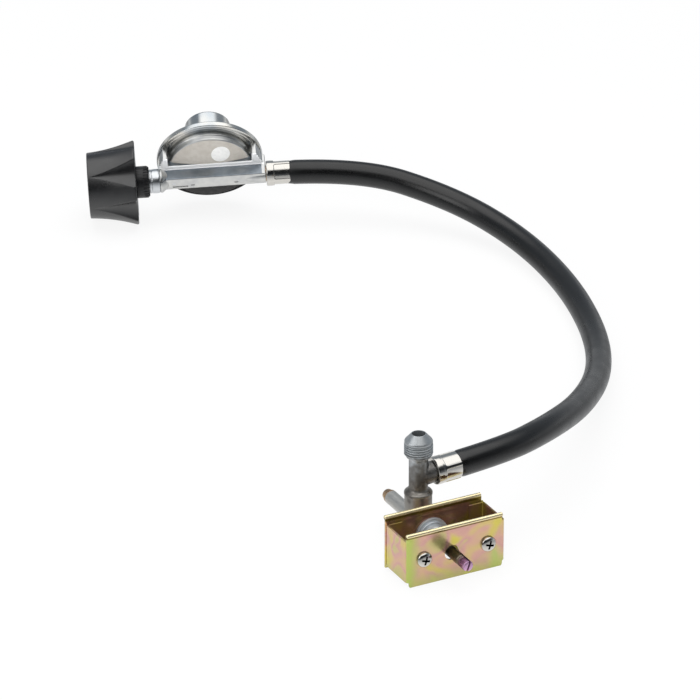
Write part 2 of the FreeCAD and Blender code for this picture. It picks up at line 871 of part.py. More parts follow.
def hem(y, left, right):
    """The rolled top edge of a sheet, along X."""
    return rod(V(left, y, hem_z), V(right, y, hem_z), hem_radius)


def folded_wall():
    """Panel, two sides and two short returns in plan, with round bends at the front corners."""
    half = bracket_width / 2
    inner = half - sheet
    bend = bend_radius
    back = bracket_depth - sheet
    lip = half - return_width
    outer_arc = bend * math.sqrt(0.5)
    inner_arc = (bend - sheet) * math.sqrt(0.5)
    corner = half - bend
    edges = [
        Part.LineSegment(V(lip, bracket_depth, 0), V(half, bracket_depth, 0)),
        Part.LineSegment(V(half, bracket_depth, 0), V(half, bend, 0)),
        Part.Arc(V(half, bend, 0), V(corner + outer_arc, bend - outer_arc, 0), V(corner, 0, 0)),
        Part.LineSegment(V(corner, 0, 0), V(-corner, 0, 0)),
        Part.Arc(V(-corner, 0, 0), V(-corner - outer_arc, bend - outer_arc, 0), V(-half, bend, 0)),
        Part.LineSegment(V(-half, bend, 0), V(-half, bracket_depth, 0)),
        Part.LineSegment(V(-half, bracket_depth, 0), V(-lip, bracket_depth, 0)),
        Part.LineSegment(V(-lip, bracket_depth, 0), V(-lip, back, 0)),
        Part.LineSegment(V(-lip, back, 0), V(-inner, back, 0)),
        Part.LineSegment(V(-inner, back, 0), V(-inner, bend, 0)),
        Part.Arc(V(-inner, bend, 0), V(-corner - inner_arc, bend - inner_arc, 0), V(-corner, sheet, 0)),
        Part.LineSegment(V(-corner, sheet, 0), V(corner, sheet, 0)),
        Part.Arc(V(corner, sheet, 0), V(corner + inner_arc, bend - inner_arc, 0), V(inner, bend, 0)),
        Part.LineSegment(V(inner, bend, 0), V(inner, back, 0)),
        Part.LineSegment(V(inner, back, 0), V(lip, back, 0)),
        Part.LineSegment(V(lip, back, 0), V(lip, bracket_depth, 0)),
    ]
    plan = Part.Face(Part.Wire([edge.toShape() for edge in edges]))
    plan.translate(V(0, 0, return_low))
    wall = plan.extrude(V(0, 0, side_top - return_low))
    return wall.cut(block(-half - 1, half + 1, bend, back, return_low - 1, side_low))


def bracket_front():
    """The folded front piece: a panel with a hem, two sides and two short returns at the back."""
    half = bracket_width / 2
    hem_right = half - front_hem_gap
    outline = [
        V(-half + panel_corner, 0, 0),
        V(half - panel_corner, 0, 0),
        V(half - 0.3, 0, panel_corner),
        V(half - bend_radius, 0, side_low),
        V(half - bend_radius, 0, side_top),
        V(hem_right, 0, side_top + 0.4),
        V(hem_right, 0, hem_z),
        V(-half, 0, hem_z),
        V(-half, 0, side_top),
        V(-half + bend_radius, 0, side_top),
        V(-half + bend_radius, 0, side_low),
        V(-half + 0.3, 0, panel_corner),
        V(-half + panel_corner, 0, 0),
    ]
    panel = Part.Face(Part.makePolygon(outline)).extrude(V(0, sheet, 0))
    piece = panel.fuse([folded_wall(), hem(0, -half, hem_right)]).removeSplitter()
    piece = piece.cut(rod(V(stem_x, -1, stem_z), V(stem_x, sheet + 1, stem_z), stem_hole_radius))
    for side in (-1, 1):
        x = side * screw_spacing / 2
        piece = piece.cut(rod(V(x, -1, stem_z), V(x, sheet + 1, stem_z), screw_radius))
    return piece


def bracket_rear():
    """The plate that closes the back, with a hem like the front one and a hole for the valve's nose."""
    half = bracket_width / 2
    hem_right = half - rear_hem_gap
    back = bracket_depth + sheet
    plate = block(-half, half, bracket_depth, back, rear_low, side_top)
    plate = plate.fuse([block(-half, hem_right, bracket_depth, back, side_top - 1, hem_z), hem(back, -half, hem_right)])
    plate = plate.removeSplitter()
    return plate.cut(rod(V(stem_x, bracket_depth - 2, stem_z), V(stem_x, back + 2, stem_z), gland_radius + 0.1))


def bracket_screw():
    """A pan-head screw with a cross recess, along +Y from the panel."""
    screw = lathe_y(
        [
            (-2.7, 0),
            (-1.5, 3.6, -2.4, 2.0),
            (-0.3, screw_head_radius, -1.05, 4.25),
            (0, screw_head_radius),
            (0, screw_radius),
            (9.0, screw_radius),
            (10.0, 1.4),
            (10.0, 0),
        ]
    )
    recess = block(-2.1, 2.1, -4, -1.0, -0.55, 0.55).fuse(block(-0.55, 0.55, -4, -1.0, -2.1, 2.1))
    return screw.cut(recess)


def bracket_screws():
    pair = []
    for side in (-1, 1):
        screw = bracket_screw()
        screw.rotate(V(0, 0, 0), V(0, 1, 0), 15)
        screw.translate(V(side * screw_spacing / 2, 0, stem_z))
        pair.append(screw)
    return Part.makeCompound(pair)


def ferrule_at(place, x, panel_turn):
    return placed(ferrule(panel_turn), place.multiply(FreeCAD.Placement(V(x, 0, 0), FreeCAD.Rotation())))


regulator_nodes = {
    "coupling_nut": coupling_nut,
    "nut_collar": nut_collar,
    "inlet_nipple": inlet_nipple,
    "nipple_nose": nipple_nose,
    "nose_seal": nose_seal,
    "flow_limiter": flow_limiter,
    "limiter_spring": limiter_spring,
    "regulator_body": regulator_body,
    "inlet_orifice": inlet_orifice,
    "valve_lever": valve_lever,
    "lever_pin": lever_pin,
    "seat_disc": seat_disc,
    "diaphragm": diaphragm,
    "diaphragm_plate": diaphragm_plate,
    "diaphragm_post": diaphragm_post,
    "main_spring": main_spring,
    "bonnet": bonnet,
    "vent_screen": vent_screen,
    "adjusting_plug": adjusting_plug,
    "tower_cap": tower_cap,
    "label_disc": label_disc,
    "regulator_barb": regulator_barb,
}
valve_nodes = {
    "valve_body": valve_body,
    "outlet_spud": outlet_spud,
    "valve_plug": valve_plug,
    "valve_stem": valve_stem,
    "stem_spring": stem_spring,
    "gland": gland,
    "bracket_front": bracket_front,
    "bracket_rear": bracket_rear,
    "bracket_screws": bracket_screws,
}

nodes = {name: placed(make(), regulator_place) for name, make in regulator_nodes.items()}
nodes["regulator_ferrule"] = ferrule_at(regulator_place, bar_right + 0.2, regulator_panel_turn)
nodes["hose"] = hose()
nodes["valve_ferrule"] = ferrule_at(port_place, port_ferrule_start, valve_panel_turn)
nodes["valve_barb"] = placed(valve_barb(), port_place)
nodes.update({name: placed(make(), valve_place) for name, make in valve_nodes.items()})

os.makedirs("parts", exist_ok=True)
for name, shape in nodes.items():
    shape.exportStep(f"parts/{name}.step")
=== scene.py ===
import json
import math

import bmesh
import bpy
import numpy as np
from mathutils import Matrix, Vector


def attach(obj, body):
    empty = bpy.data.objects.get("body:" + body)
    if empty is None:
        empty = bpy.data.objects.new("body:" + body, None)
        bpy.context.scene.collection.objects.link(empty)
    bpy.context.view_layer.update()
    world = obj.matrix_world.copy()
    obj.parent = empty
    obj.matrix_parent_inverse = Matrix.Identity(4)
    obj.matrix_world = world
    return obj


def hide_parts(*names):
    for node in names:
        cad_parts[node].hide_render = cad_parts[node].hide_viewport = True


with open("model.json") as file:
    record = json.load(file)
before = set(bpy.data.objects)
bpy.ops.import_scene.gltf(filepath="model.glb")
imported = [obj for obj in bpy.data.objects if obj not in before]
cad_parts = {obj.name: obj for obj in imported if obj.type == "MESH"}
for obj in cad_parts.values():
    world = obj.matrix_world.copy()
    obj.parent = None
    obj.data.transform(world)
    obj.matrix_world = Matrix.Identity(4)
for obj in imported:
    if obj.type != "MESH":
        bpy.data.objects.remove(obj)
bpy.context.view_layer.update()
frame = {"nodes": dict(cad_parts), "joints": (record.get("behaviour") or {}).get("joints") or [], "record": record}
nodes = frame["nodes"]
joints = {joint["name"]: joint for joint in frame["joints"]}
MM = 0.001
BASE = "regulator_and_hose"
CIRCLE = 2 * math.pi

# Sizes in mm, and one angle, that the places below or several shapes and materials use. Those of the gas bar,
# its ledge and the disc are measured from the disc's middle, those of the bracket from the middle of its
# front panel's bottom edge, and those of the port and stub from the valve's origin.
nut_to_disc = 50
bar_face, bar_half = -3.9, 4.65
bar_reach = 34.1
ledge_face, ledge_half = 4.5, 7.2
underside = 9.5
dome_radius, dome_edge, dome_crown = 25.1, 8.15, 4.7
sheet = 1.3
panel_half, panel_top, side_top = 30.2, 31.4, 27.9
hem_right = 28.2
bracket_depth = 25.6
panel_ahead = 38.8
stem_across, stem_height, stem_reach = -2.4, 15.6, 18.6
screw_across, screw_height = 19.6, 15.6
port_height, port_pitch = 28.9, math.radians(3)
port_reach = 9.0
stub_rise, stub_reach = 1.2, 31.4


def shifted(place, x=0, y=0, z=0):
    """The place moved by millimetres along its own axes."""
    return place @ Matrix.Translation((x * MM, y * MM, z * MM))


# Places. The regulator's X runs along the gas to the hose and its Z to the tower. The valve's origin is where
# its upright axis crosses the stem's. A turned shape's X lies along Y or Z with the last two.
gas = Vector(joints["nut_spin"]["axis"])
tower = Vector(joints["diaphragm_stroke"]["axis"])
disc_centre = Vector(joints["nut_spin"]["pos_m"]) + gas * nut_to_disc * MM
regulator = Matrix.Translation(disc_centre) @ Matrix((gas, tower.cross(gas), tower)).transposed().to_4x4()
valve = Matrix.Translation(joints["plug_turn"]["pos_m"])
bracket = valve @ Matrix.Translation(Vector((-stem_across, -panel_ahead, -stem_height)) * MM)
port = shifted(valve, z=port_height) @ Matrix.Rotation(-port_pitch, 4, "Y")
along_y = Matrix.Rotation(math.radians(90), 4, "Z")
along_z = Matrix.Rotation(math.radians(-90), 4, "Y")


# Surfaces


def smoothstep(low, high, value):
    """0 below low, 1 above high, and between them 3 t squared less 2 t cubed, with t the share of the way."""
    t = np.clip((value - low) / (high - low), 0, 1)
    return t * t * (3 - 2 * t)


def rounded(corners, steps=5):
    """The closed outline through corners (x, r, radius). A quadratic curve cuts each corner with a radius."""
    outline = []
    count = len(corners)
    for i, corner in enumerate(corners):
        here = np.array(corner[:2], float)
        radius = corner[2] if len(corner) > 2 else 0
        to_last = np.array(corners[i - 1][:2], float) - here
        to_next = np.array(corners[(i + 1) % count][:2], float) - here
        if radius == 0:
            outline.append(here)
            continue
        first = here + to_last * min(0.49, radius / np.linalg.norm(to_last))
        last = here + to_next * min(0.49, radius / np.linalg.norm(to_next))
        for t in np.linspace(0, 1, steps):
            outline.append((1 - t) ** 2 * first + 2 * t * (1 - t) * here + t ** 2 * last)
    return np.array(outline)


def joined(*parts):
    """One outline from several lists of (x, r) points."""
    return np.concatenate([np.array(part, float) for part in parts])


def piece_from(mesh_points, faces, name, crease):
    """A mesh object with doubled points merged, normals outwards and edges over the crease angle sharp."""
    mesh = bpy.data.meshes.new(name)
    mesh.from_pydata(mesh_points.tolist(), [], faces.tolist())
    shape = bmesh.new()
    shape.from_mesh(mesh)
    bmesh.ops.remove_doubles(shape, verts=shape.verts, dist=2e-6)
    bmesh.ops.dissolve_degenerate(shape, edges=shape.edges, dist=1e-6)
    bmesh.ops.recalc_face_normals(shape, faces=shape.faces)
    shape.to_mesh(mesh)
    shape.free()
    mesh.shade_smooth()
    mesh.set_sharp_from_angle(angle=math.radians(crease))
    piece = bpy.data.objects.new(name, mesh)
    bpy.context.scene.collection.objects.link(piece)
    return piece


def skin(name, grid, place, loop=False, crease=38):
    """The surface over a grid of points in mm: each row is a closed ring, and each ring joins the next.
    With loop the last ring joins the first, and otherwise both end rings are closed by a point."""
    if not loop:
        ends = [np.broadcast_to(ring.mean(1, keepdims=True), ring.shape) for ring in (grid[:1], grid[-1:])]
        grid = np.concatenate([ends[0], grid, ends[1]])
    rows, columns = grid.shape[:2]
    flat = np.c_[grid.reshape(-1, 3) * MM, np.ones(rows * columns)]
    points = (flat @ np.array(place).T)[:, :3]
    index = np.arange(rows * columns).reshape(rows, columns)
    if loop:
        index = np.vstack([index, index[:1]])
    low, high = index[:-1], index[1:]
    quads = np.stack([low, np.roll(low, -1, 1), np.roll(high, -1, 1), high], axis=-1).reshape(-1, 4)
    return piece_from(points, quads, name, crease)


def turned(name, outline, place, segments=96, form=None, crease=38):
    """An outline of (x, r) points in mm turned about the X axis: closed, or from the axis back to the axis.
    form(x, r, angle) may change the radius."""
    outline = np.array(outline, float)
    angle = np.linspace(0, CIRCLE, segments, endpoint=False)[None, :]
    x = outline[:, :1] + 0 * angle
    r = outline[:, 1:2] + 0 * angle
    if form is not None:
        r = form(x, r, angle + 0 * x)
    grid = np.stack([x, r * np.cos(angle), r * np.sin(angle)], axis=-1)
    hollow = outline[0, 1] > 0 or outline[-1, 1] > 0
    return skin(name, grid, place, loop=hollow, crease=crease)


def rounded_block(name, low, high, radius, place, steps=5):
    """A block with rounded edges: a small sphere's points, each eighth of it moved out to its own corner."""
    low, high = np.array(low, float), np.array(high, float)
    quarter = np.linspace(0, math.pi / 2, steps)
    around = np.concatenate([quarter + k * math.pi / 2 for k in range(4)])[None, :]
    rise = np.concatenate([quarter - math.pi / 2, quarter])[:, None]
    sides = np.stack([
        np.repeat([1, -1, -1, 1], steps)[None, :] + 0 * rise,
        np.repeat([1, 1, -1, -1], steps)[None, :] + 0 * rise,
        np.repeat([-1, 1], steps)[:, None] + 0 * around,
    ], axis=-1)
    sphere = np.stack([
        np.cos(rise) * np.cos(around),
        np.cos(rise) * np.sin(around),
        np.sin(rise) + 0 * around,
    ], axis=-1)
    grid = (low + high) / 2 + radius * sphere + ((high - low) / 2 - radius) * sides
    return skin(name, grid, place)


def applied(piece):
    """The piece with its modifiers made part of its mesh."""
    bpy.context.view_layer.update()
    evaluated = piece.evaluated_get(bpy.context.evaluated_depsgraph_get())
    mesh = bpy.data.meshes.new_from_object(evaluated)
    piece.modifiers.clear()
    old = piece.data
    piece.data = mesh
    mesh.name = old.name
    bpy.data.meshes.remove(old)
    return piece


def cut(piece, tool, crease=38):
    """The piece with the tool's space taken away."""
    modifier = piece.modifiers.new("cut", "BOOLEAN")
    modifier.operation = "DIFFERENCE"
    modifier.solver = "EXACT"
    modifier.object = tool
    applied(piece)
    bpy.data.objects.remove(tool)
    piece.data.shade_smooth()
    piece.data.set_sharp_from_angle(angle=math.radians(crease))
    return piece


def casting(name, forms, voxel, passes, share=1.0):
    """One casting from closed forms that run into each other: remade in voxels of a size in mm, smoothed in
    some passes, and thinned to a share of its triangles."""
    shape = bmesh.new()
    for form in forms:
        shape.from_mesh(form.data)
        bpy.data.objects.remove(form)
    mesh = bpy.data.meshes.new(name)
    shape.to_mesh(mesh)
    shape.free()
    piece = bpy.data.objects.new(name, mesh)
    bpy.context.scene.collection.objects.link(piece)
    remesh = piece.modifiers.new("voxels", "REMESH")
    remesh.mode = "VOXEL"
    remesh.voxel_size = voxel * MM
    remesh.use_smooth_shade = True
    smooth = piece.modifiers.new("smooth", "SMOOTH")
    smooth.factor = 0.5
    smooth.iterations = passes
    if share < 1:
        piece.modifiers.new("thinned", "DECIMATE").ratio = share
    return applied(piece)


def dome_height(x, y=0, lift=0):
    """The height of the dome's spherical face over a point of the disc, raised by a lift."""
    drop = dome_edge - dome_crown
    curve = (dome_radius ** 2 + drop ** 2) / (2 * drop)
    return dome_crown + curve - np.sqrt((curve + lift) ** 2 - x ** 2 - y ** 2)


# Shading tools


def linear(hex_colour):
    """An sRGB hex colour as linear red, green, blue and alpha."""
    channels = [int(hex_colour[i:i + 2], 16) / 255 for i in (1, 3, 5)]
    return [c / 12.92 if c <= 0.04045 else ((c + 0.055) / 1.055) ** 2.4 for c in channels] + [1.0]


def add(tree, kind, inputs=(), stops=(), **settings):
    """A node of that kind with its settings. An input takes a socket, a hex colour or a value, and the stops
    of a colour ramp are (position, hex colour) pairs."""
    node = tree.nodes.new(kind)
    for key, value in settings.items():
        setattr(node, key, value)
    for socket, source in inputs:
        if isinstance(source, bpy.types.NodeSocket):
            tree.links.new(source, node.inputs[socket])
        else:
            node.inputs[socket].default_value = linear(source) if isinstance(source, str) else source
    if stops:
        elements = node.color_ramp.elements
        while len(elements) < len(stops):
            elements.new(1)
        for element, (position, colour) in zip(elements, stops):
            element.position = position
            element.color = linear(colour)
    return node


def placed_coordinates(tree, place=None):
    """Object coordinates, or the same seen from a place."""
    coordinates = add(tree, "ShaderNodeTexCoord").outputs["Object"]
    if place is None:
        return coordinates
    back = place.inverted()
    return add(tree, "ShaderNodeMapping", [
        ("Vector", coordinates),
        ("Location", back.to_translation()),
        ("Rotation", back.to_euler()),
    ]).outputs["Vector"]


def axes(tree, where):
    """X, Y and Z of the coordinates, then X and Y without their sign."""
    parts = add(tree, "ShaderNodeSeparateXYZ", [("Vector", where)]).outputs
    unsigned = [
        add(tree, "ShaderNodeMath", [(0, part)], operation="ABSOLUTE").outputs[0]
        for part in parts[:2]
    ]
    return [*parts, *unsigned]


def inside(tree, *limits, most=1.0):
    """A share that is most where every value lies between its low and high in mm, and 0 outside. Each limit
    is (value, low, high, fade), with the fade in mm beyond both ends."""
    share = most
    for value, low, high, fade in limits:
        for outer, inner in ((low - fade, low), (high + fade, high)):
            edge = add(tree, "ShaderNodeMapRange", [
                ("Value", value),
                ("From Min", outer * MM),
                ("From Max", inner * MM),
            ]).outputs["Result"]
            share = add(tree, "ShaderNodeMath", [(0, share), (1, edge)], operation="MULTIPLY").outputs[0]
    return share


def layered(tree, colour, *layers):
    """A colour with others laid over it in turn, each by its share. A colour is a socket or a hex colour."""
    for share, over in layers:
        mix = add(tree, "ShaderNodeMixRGB", [("Fac", share), ("Color1", colour), ("Color2", over)])
        colour = mix.outputs["Color"]
    return colour


def patches_of(size, where, detail=3.0):
    """The inputs that give a noise patches of that size in mm."""
    return [("Vector", where), ("Scale", 1 / (size * MM)), ("Detail", detail)]


def mottled(tree, where, size, detail, *pairs):
    """For each pair of hex colours, one that wanders between them in patches of that size in mm."""
    noise = add(tree, "ShaderNodeTexNoise", patches_of(size, where, detail)).outputs["Fac"]
    return [
        add(tree, "ShaderNodeValToRGB", [("Fac", noise)], [(0.35, dark), (0.65, light)]).outputs["Color"]
        for dark, light in pairs
    ]


def paint(tree, shader, colour):
    """Gives the shader a colour socket as its base colour."""
    tree.links.new(colour, shader.inputs["Base Color"])


def vary_roughness(tree, shader, where, size, low, high, detail=3.0):
    """Roughness that wanders from low to high in patches of that size in mm."""
    noise = add(tree, "ShaderNodeTexNoise", patches_of(size, where, detail)).outputs["Fac"]
    span = add(tree, "ShaderNodeMapRange", [
        ("Value", noise),
        ("From Min", 0.3),
        ("From Max", 0.7),
        ("To Min", low),
        ("To Max", high),
    ])
    tree.links.new(span.outputs["Result"], shader.inputs["Roughness"])


def bump(tree, shader, height, strength, depth):
    """Bump from a height socket, as deep as depth in mm."""
    node = add(tree, "ShaderNodeBump", [("Height", height), ("Strength", strength), ("Distance", depth * MM)])
    tree.links.new(node.outputs["Normal"], shader.inputs["Normal"])


def grain(tree, shader, where, size, strength, depth):
    """The fine grain of a cast, moulded or blasted surface."""
    noise = add(tree, "ShaderNodeTexNoise", patches_of(size, where, 2.0)).outputs["Fac"]
    bump(tree, shader, noise, strength, depth)


def new_material(name, colour, metallic, roughness, **sockets):
    """A material with one Principled shader. Returns the material, its tree and its shader."""
    material = bpy.data.materials.new(name)
    material.use_nodes = True
    tree = material.node_tree
    shader = tree.nodes["Principled BSDF"]
    shader.inputs["Base Color"].default_value = linear(colour)
    shader.inputs["Metallic"].default_value = metallic
    shader.inputs["Roughness"].default_value = roughness
    for key, value in sockets.items():
        shader.inputs[key.replace("_", " ")].default_value = value
    return material, tree, shader


def plain(name, colour, metallic, roughness, place=None, patches=None, gloss=None, relief=None, **sockets):
    """A material of one substance. patches is the size in mm and two hex colours, gloss the size and the
    roughness range, and relief the size, strength and depth of a grain."""
    material, tree, shader = new_material(name, colour, metallic, roughness, **sockets)
    where = placed_coordinates(tree, place)
    if patches:
        size, dark, light = patches
        paint(tree, shader, mottled(tree, where, size, 3.0, (dark, light))[0])
    if gloss:
        vary_roughness(tree, shader, where, *gloss)
    if relief:
        grain(tree, shader, where, *relief)
    return material


# Materials


def screw_nickel():
    """Nickel plate on small screws: a mirror, with painted shade in the cross recess."""
    silver = "#D2CFC9"
    material, tree, shader = new_material("screw_nickel", silver, 1, 0.12)
    where = placed_coordinates(tree, bracket)
    y, z, across = axes(tree, where)[1:4]
    flat = add(tree, "ShaderNodeCombineXYZ", [("X", across), ("Z", z)]).outputs["Vector"]
    centre = Vector((screw_across, 0, screw_height)) * MM
    off = add(tree, "ShaderNodeVectorMath", [(0, flat), (1, centre)], operation="DISTANCE").outputs["Value"]
    # Painted shade: the cross recess is painted near black where shade falls inside it.
    recess = inside(tree, (off, -1, 2.9, 0.1), (y, -2.15, 5, 0.1))
    paint(tree, shader, layered(tree, silver, (recess, "#121212")))
    vary_roughness(tree, shader, where, 2, 0.08, 0.18)
    return material


def bright_zinc():
    """Zinc plate on a turned shell: a cold silver, with painted shade darkening the lip on the underside."""
    material, tree, shader = new_material("bright_zinc", "#C3C9CE", 1, 0.2)
    where = placed_coordinates(tree, regulator)
    y, z = axes(tree, where)[1:3]
    silver = mottled(tree, where, 16, 1.0, ("#BCC3C9", "#E2DFD8"))[0]
    # Painted shade: the lower lip of the shell, on the underside, is painted near black.
    lip_shade = inside(tree, (y, 14, 60, 2), (z, 0, 14.6, 0.5))
    paint(tree, shader, layered(tree, silver, (lip_shade, "#2A2A2A")))
    vary_roughness(tree, shader, where, 8, 0.15, 0.24, 1.0)
    return material


def die_cast_zinc():
    """Zinc die casting, tumbled: silver grey and satin. The ledge and end pads carry a pale painted highlight, the
    flanks of the gas bar and ledge carry blue-grey painted shade, and below the bar the casting is painted near
    black as shade."""
    material, tree, shader = new_material("die_cast_zinc", "#C4C6C6", 1, 0.36)
    where = placed_coordinates(tree, regulator)
    y, z, outwards, across = axes(tree, where)[1:]
    bright, flank_shade = mottled(tree, where, 7, 2.0, ("#C9CACA", "#DCDCD9"), ("#7E868E", "#8E959C"))
    # Painted shade: the flanks of the gas bar and the ledge are painted a darker blue-grey than the face.
    bar_flank = inside(
        tree,
        (across, bar_half - 0.1, bar_half + 0.15, 0.1),
        (z, bar_face - 2.1, ledge_face - 0.4, 0.2),
        (outwards, -1, 31.5, 0.4),
    )
    ledge_flank = inside(
        tree,
        (across, ledge_half - 0.3, ledge_half + 0.2, 0.1),
        (z, ledge_face + 0.7, 12, 0.3),
        (outwards, -1, 25.6, 0.2),
    )
    flank = add(tree, "ShaderNodeMath", [(0, bar_flank), (1, ledge_flank)], operation="MAXIMUM").outputs[0]
    # Painted highlight: the front faces of the ledge and end pads are painted pale.
    ledge_highlight = inside(tree, (z, ledge_face - 0.3, ledge_face + 0.5, 0.2), (across, bar_half + 0.05, 20, 0.1))
    # Painted shade: everything below the bar is painted near black.
    underside_shade = inside(tree, (y, underside, 60, 1.5))
    paint(tree, shader, layered(tree, bright, (flank, flank_shade), (ledge_highlight, "#F4F5F6"), (underside_shade, "#2A2A2A")))
    # Both the painted highlight and the painted shade lower the metallic.
    painted_light_and_shade = add(tree, "ShaderNodeMath", [(0, ledge_highlight), (1, underside_shade)], operation="MAXIMUM").outputs[0]
    metal = add(tree, "ShaderNodeMapRange", [("Value", painted_light_and_shade), ("To Min", 1.0), ("To Max", 0.15)])
    tree.links.new(metal.outputs["Result"], shader.inputs["Metallic"])
    vary_roughness(tree, shader, where, 3, 0.28, 0.42)
    grain(tree, shader, where, 0.7, 0.12, 0.05)
    return material


def etched_dome():
    """The dome's face, etched matt: a warm grey above the bar. Below the bar it is painted near black, as painted
    shade."""
    material, tree, shader = new_material("etched_dome", "#C2BDB4", 0.1, 0.6)
    where = placed_coordinates(tree, regulator)
    y = axes(tree, where)[1]
    face, painted_dome_shade = mottled(tree, where, 3, 3.0, ("#BFB9B0", "#C9C4BC"), ("#1C1B1A", "#343332"))
    # Painted shade: the dome below the bar is painted near black.
    paint(tree, shader, layered(tree, face, (inside(tree, (y, underside, 60, 3)), painted_dome_shade)))
    grain(tree, shader, where, 0.35, 0.2, 0.05)
    return material


def blasted_casting():
    """A die casting blasted with fine grit: satin, a warm grey on the barrel, darkest low on the neck, bluish
    at the flare, and palest on the rear stub."""
    material, tree, shader = new_material("blasted_casting", "#A09E9A", 0.9, 0.4)
    where = placed_coordinates(tree, valve)
    y, z = axes(tree, where)[1:3]
    rise = add(tree, "ShaderNodeMapRange", [
        ("Value", z),
        ("From Min", 0.0),
        ("From Max", 50 * MM),
        ("To Max", 0.6),
    ])
    noise = add(tree, "ShaderNodeTexNoise", patches_of(5, where, 2.0)).outputs["Fac"]
    inputs = [(0, noise), (1, 0.4), (2, rise.outputs["Result"])]
    mix = add(tree, "ShaderNodeMath", inputs, operation="MULTIPLY_ADD")
    colours = add(tree, "ShaderNodeValToRGB", [("Fac", mix.outputs[0])], [
        (0.20, "#A39F98"),
        (0.42, "#918D87"),
        (0.50, "#6A6661"),
        (0.62, "#838280"),
        (0.74, "#B4B8BA"),
    ])
    stub = inside(tree, (y, 11, 80, 4))
    paint(tree, shader, layered(tree, colours.outputs["Color"], (stub, "#C6C4BF")))
    vary_roughness(tree, shader, where, 2, 0.34, 0.46)
    grain(tree, shader, where, 0.3, 0.15, 0.05)
    return material


def yellow_chromate():
    """Yellow chromate on zinc: a thin film that drifts in patches between pink, orange, straw and green. The
    front's left edge and foot are greener. The inside is darkened with painted shade, a painted shadow runs under
    the rolled edges, and the top of each rolled edge carries a pale painted highlight."""
    material, tree, shader = new_material("yellow_chromate", "#D8C58A", 0.8, 0.22)
    where = placed_coordinates(tree, bracket)
    x, y, z, across = axes(tree, where)[:4]
    inputs = patches_of(15, where, 1.5) + [("Distortion", 0.6)]
    patches = add(tree, "ShaderNodeTexNoise", inputs)
    film = add(tree, "ShaderNodeValToRGB", [("Fac", patches.outputs["Fac"])], [
        (0.30, "#E4D46A"),
        (0.41, "#E4C68E"),
        (0.48, "#E6B6A2"),
        (0.54, "#DFADA4"),
        (0.62, "#DFC494"),
        (0.74, "#C9CF80"),
    ])
    left = inside(tree, (x, -29.5, -28.0, 7), (y, -3, 0.7, 0.6))
    foot = inside(tree, (z, -1, 2.0, 6), most=0.6)
    green = add(tree, "ShaderNodeMath", [(0, left), (1, foot)], operation="MAXIMUM").outputs[0]
    # Painted shade: the inside of the bracket is painted dark brown.
    inner_shade = inside(tree, (across, -1, 29.2, 0.3), (y, 1.2, 24.5, 0.1), (z, -1, 30, 0.3), most=0.62)
    # Painted shadow: a dark olive band just under the rolled edges and on their lower side.
    shadow_under_hem = inside(tree, (z, 29.7, 30.9, 0.3))
    # Painted highlight: the top of the rolled edges is painted pale cream.
    hem_highlight = inside(tree, (z, 31.3, 40, 0.3))
    paint(tree, shader, layered(
        tree,
        film.outputs["Color"],
        (green, "#C3CF70"),
        (inner_shade, "#5E3F14"),
        (shadow_under_hem, "#7A6526"),
        (hem_highlight, "#FBEBBE"),
    ))
    vary_roughness(tree, shader, where, 6, 0.16, 0.26, 1.0)
    return material


def hose_rubber():
    """Extruded rubber: black with a soft sheen, and fine lines along it from the die."""
    material, tree, shader = new_material(
        "hose_rubber", "#0A0A0B", 0, 0.3, IOR=1.5, Specular_IOR_Level=0.6,
    )
    where = add(tree, "ShaderNodeTexCoord").outputs["UV"]
    stretched = add(tree, "ShaderNodeMapping", [("Vector", where), ("Scale", (60, 6, 1))]).outputs["Vector"]
    inputs = [("Vector", stretched), ("Scale", 1.0), ("Detail", 2.0)]
    lines = add(tree, "ShaderNodeTexNoise", inputs).outputs["Fac"]
    shade = add(tree, "ShaderNodeValToRGB", [("Fac", lines)], [(0.35, "#090909"), (0.7, "#101011")])
    paint(tree, shader, shade.outputs["Color"])
    bump(tree, shader, lines, 0.2, 0.08)
    vary_roughness(tree, shader, placed_coordinates(tree), 12, 0.24, 0.34)
    return material


def passivated_stem():
    """Turned steel with a dark olive film, whose serrated tip is tinted violet."""
    material, tree, shader = new_material("passivated_stem", "#4A4430", 0.9, 0.32)
    where = placed_coordinates(tree, bracket)
    y = axes(tree, where)[1]
    reach = add(tree, "ShaderNodeMapRange", [
        ("Value", y),
        ("From Min", -stem_reach * MM),
        ("From Max", 4 * MM),
    ])
    tint = add(tree, "ShaderNodeValToRGB", [("Fac", reach.outputs["Result"])], [
        (0.0, "#D3A8CB"),
        (0.16, "#A878A3"),
        (0.34, "#7F7468"),
        (0.5, "#5A553C"),
        (0.8, "#3B382A"),
    ])
    paint(tree, shader, tint.outputs["Color"])
    vary_roughness(tree, shader, where, 2, 0.24, 0.4)
    return material


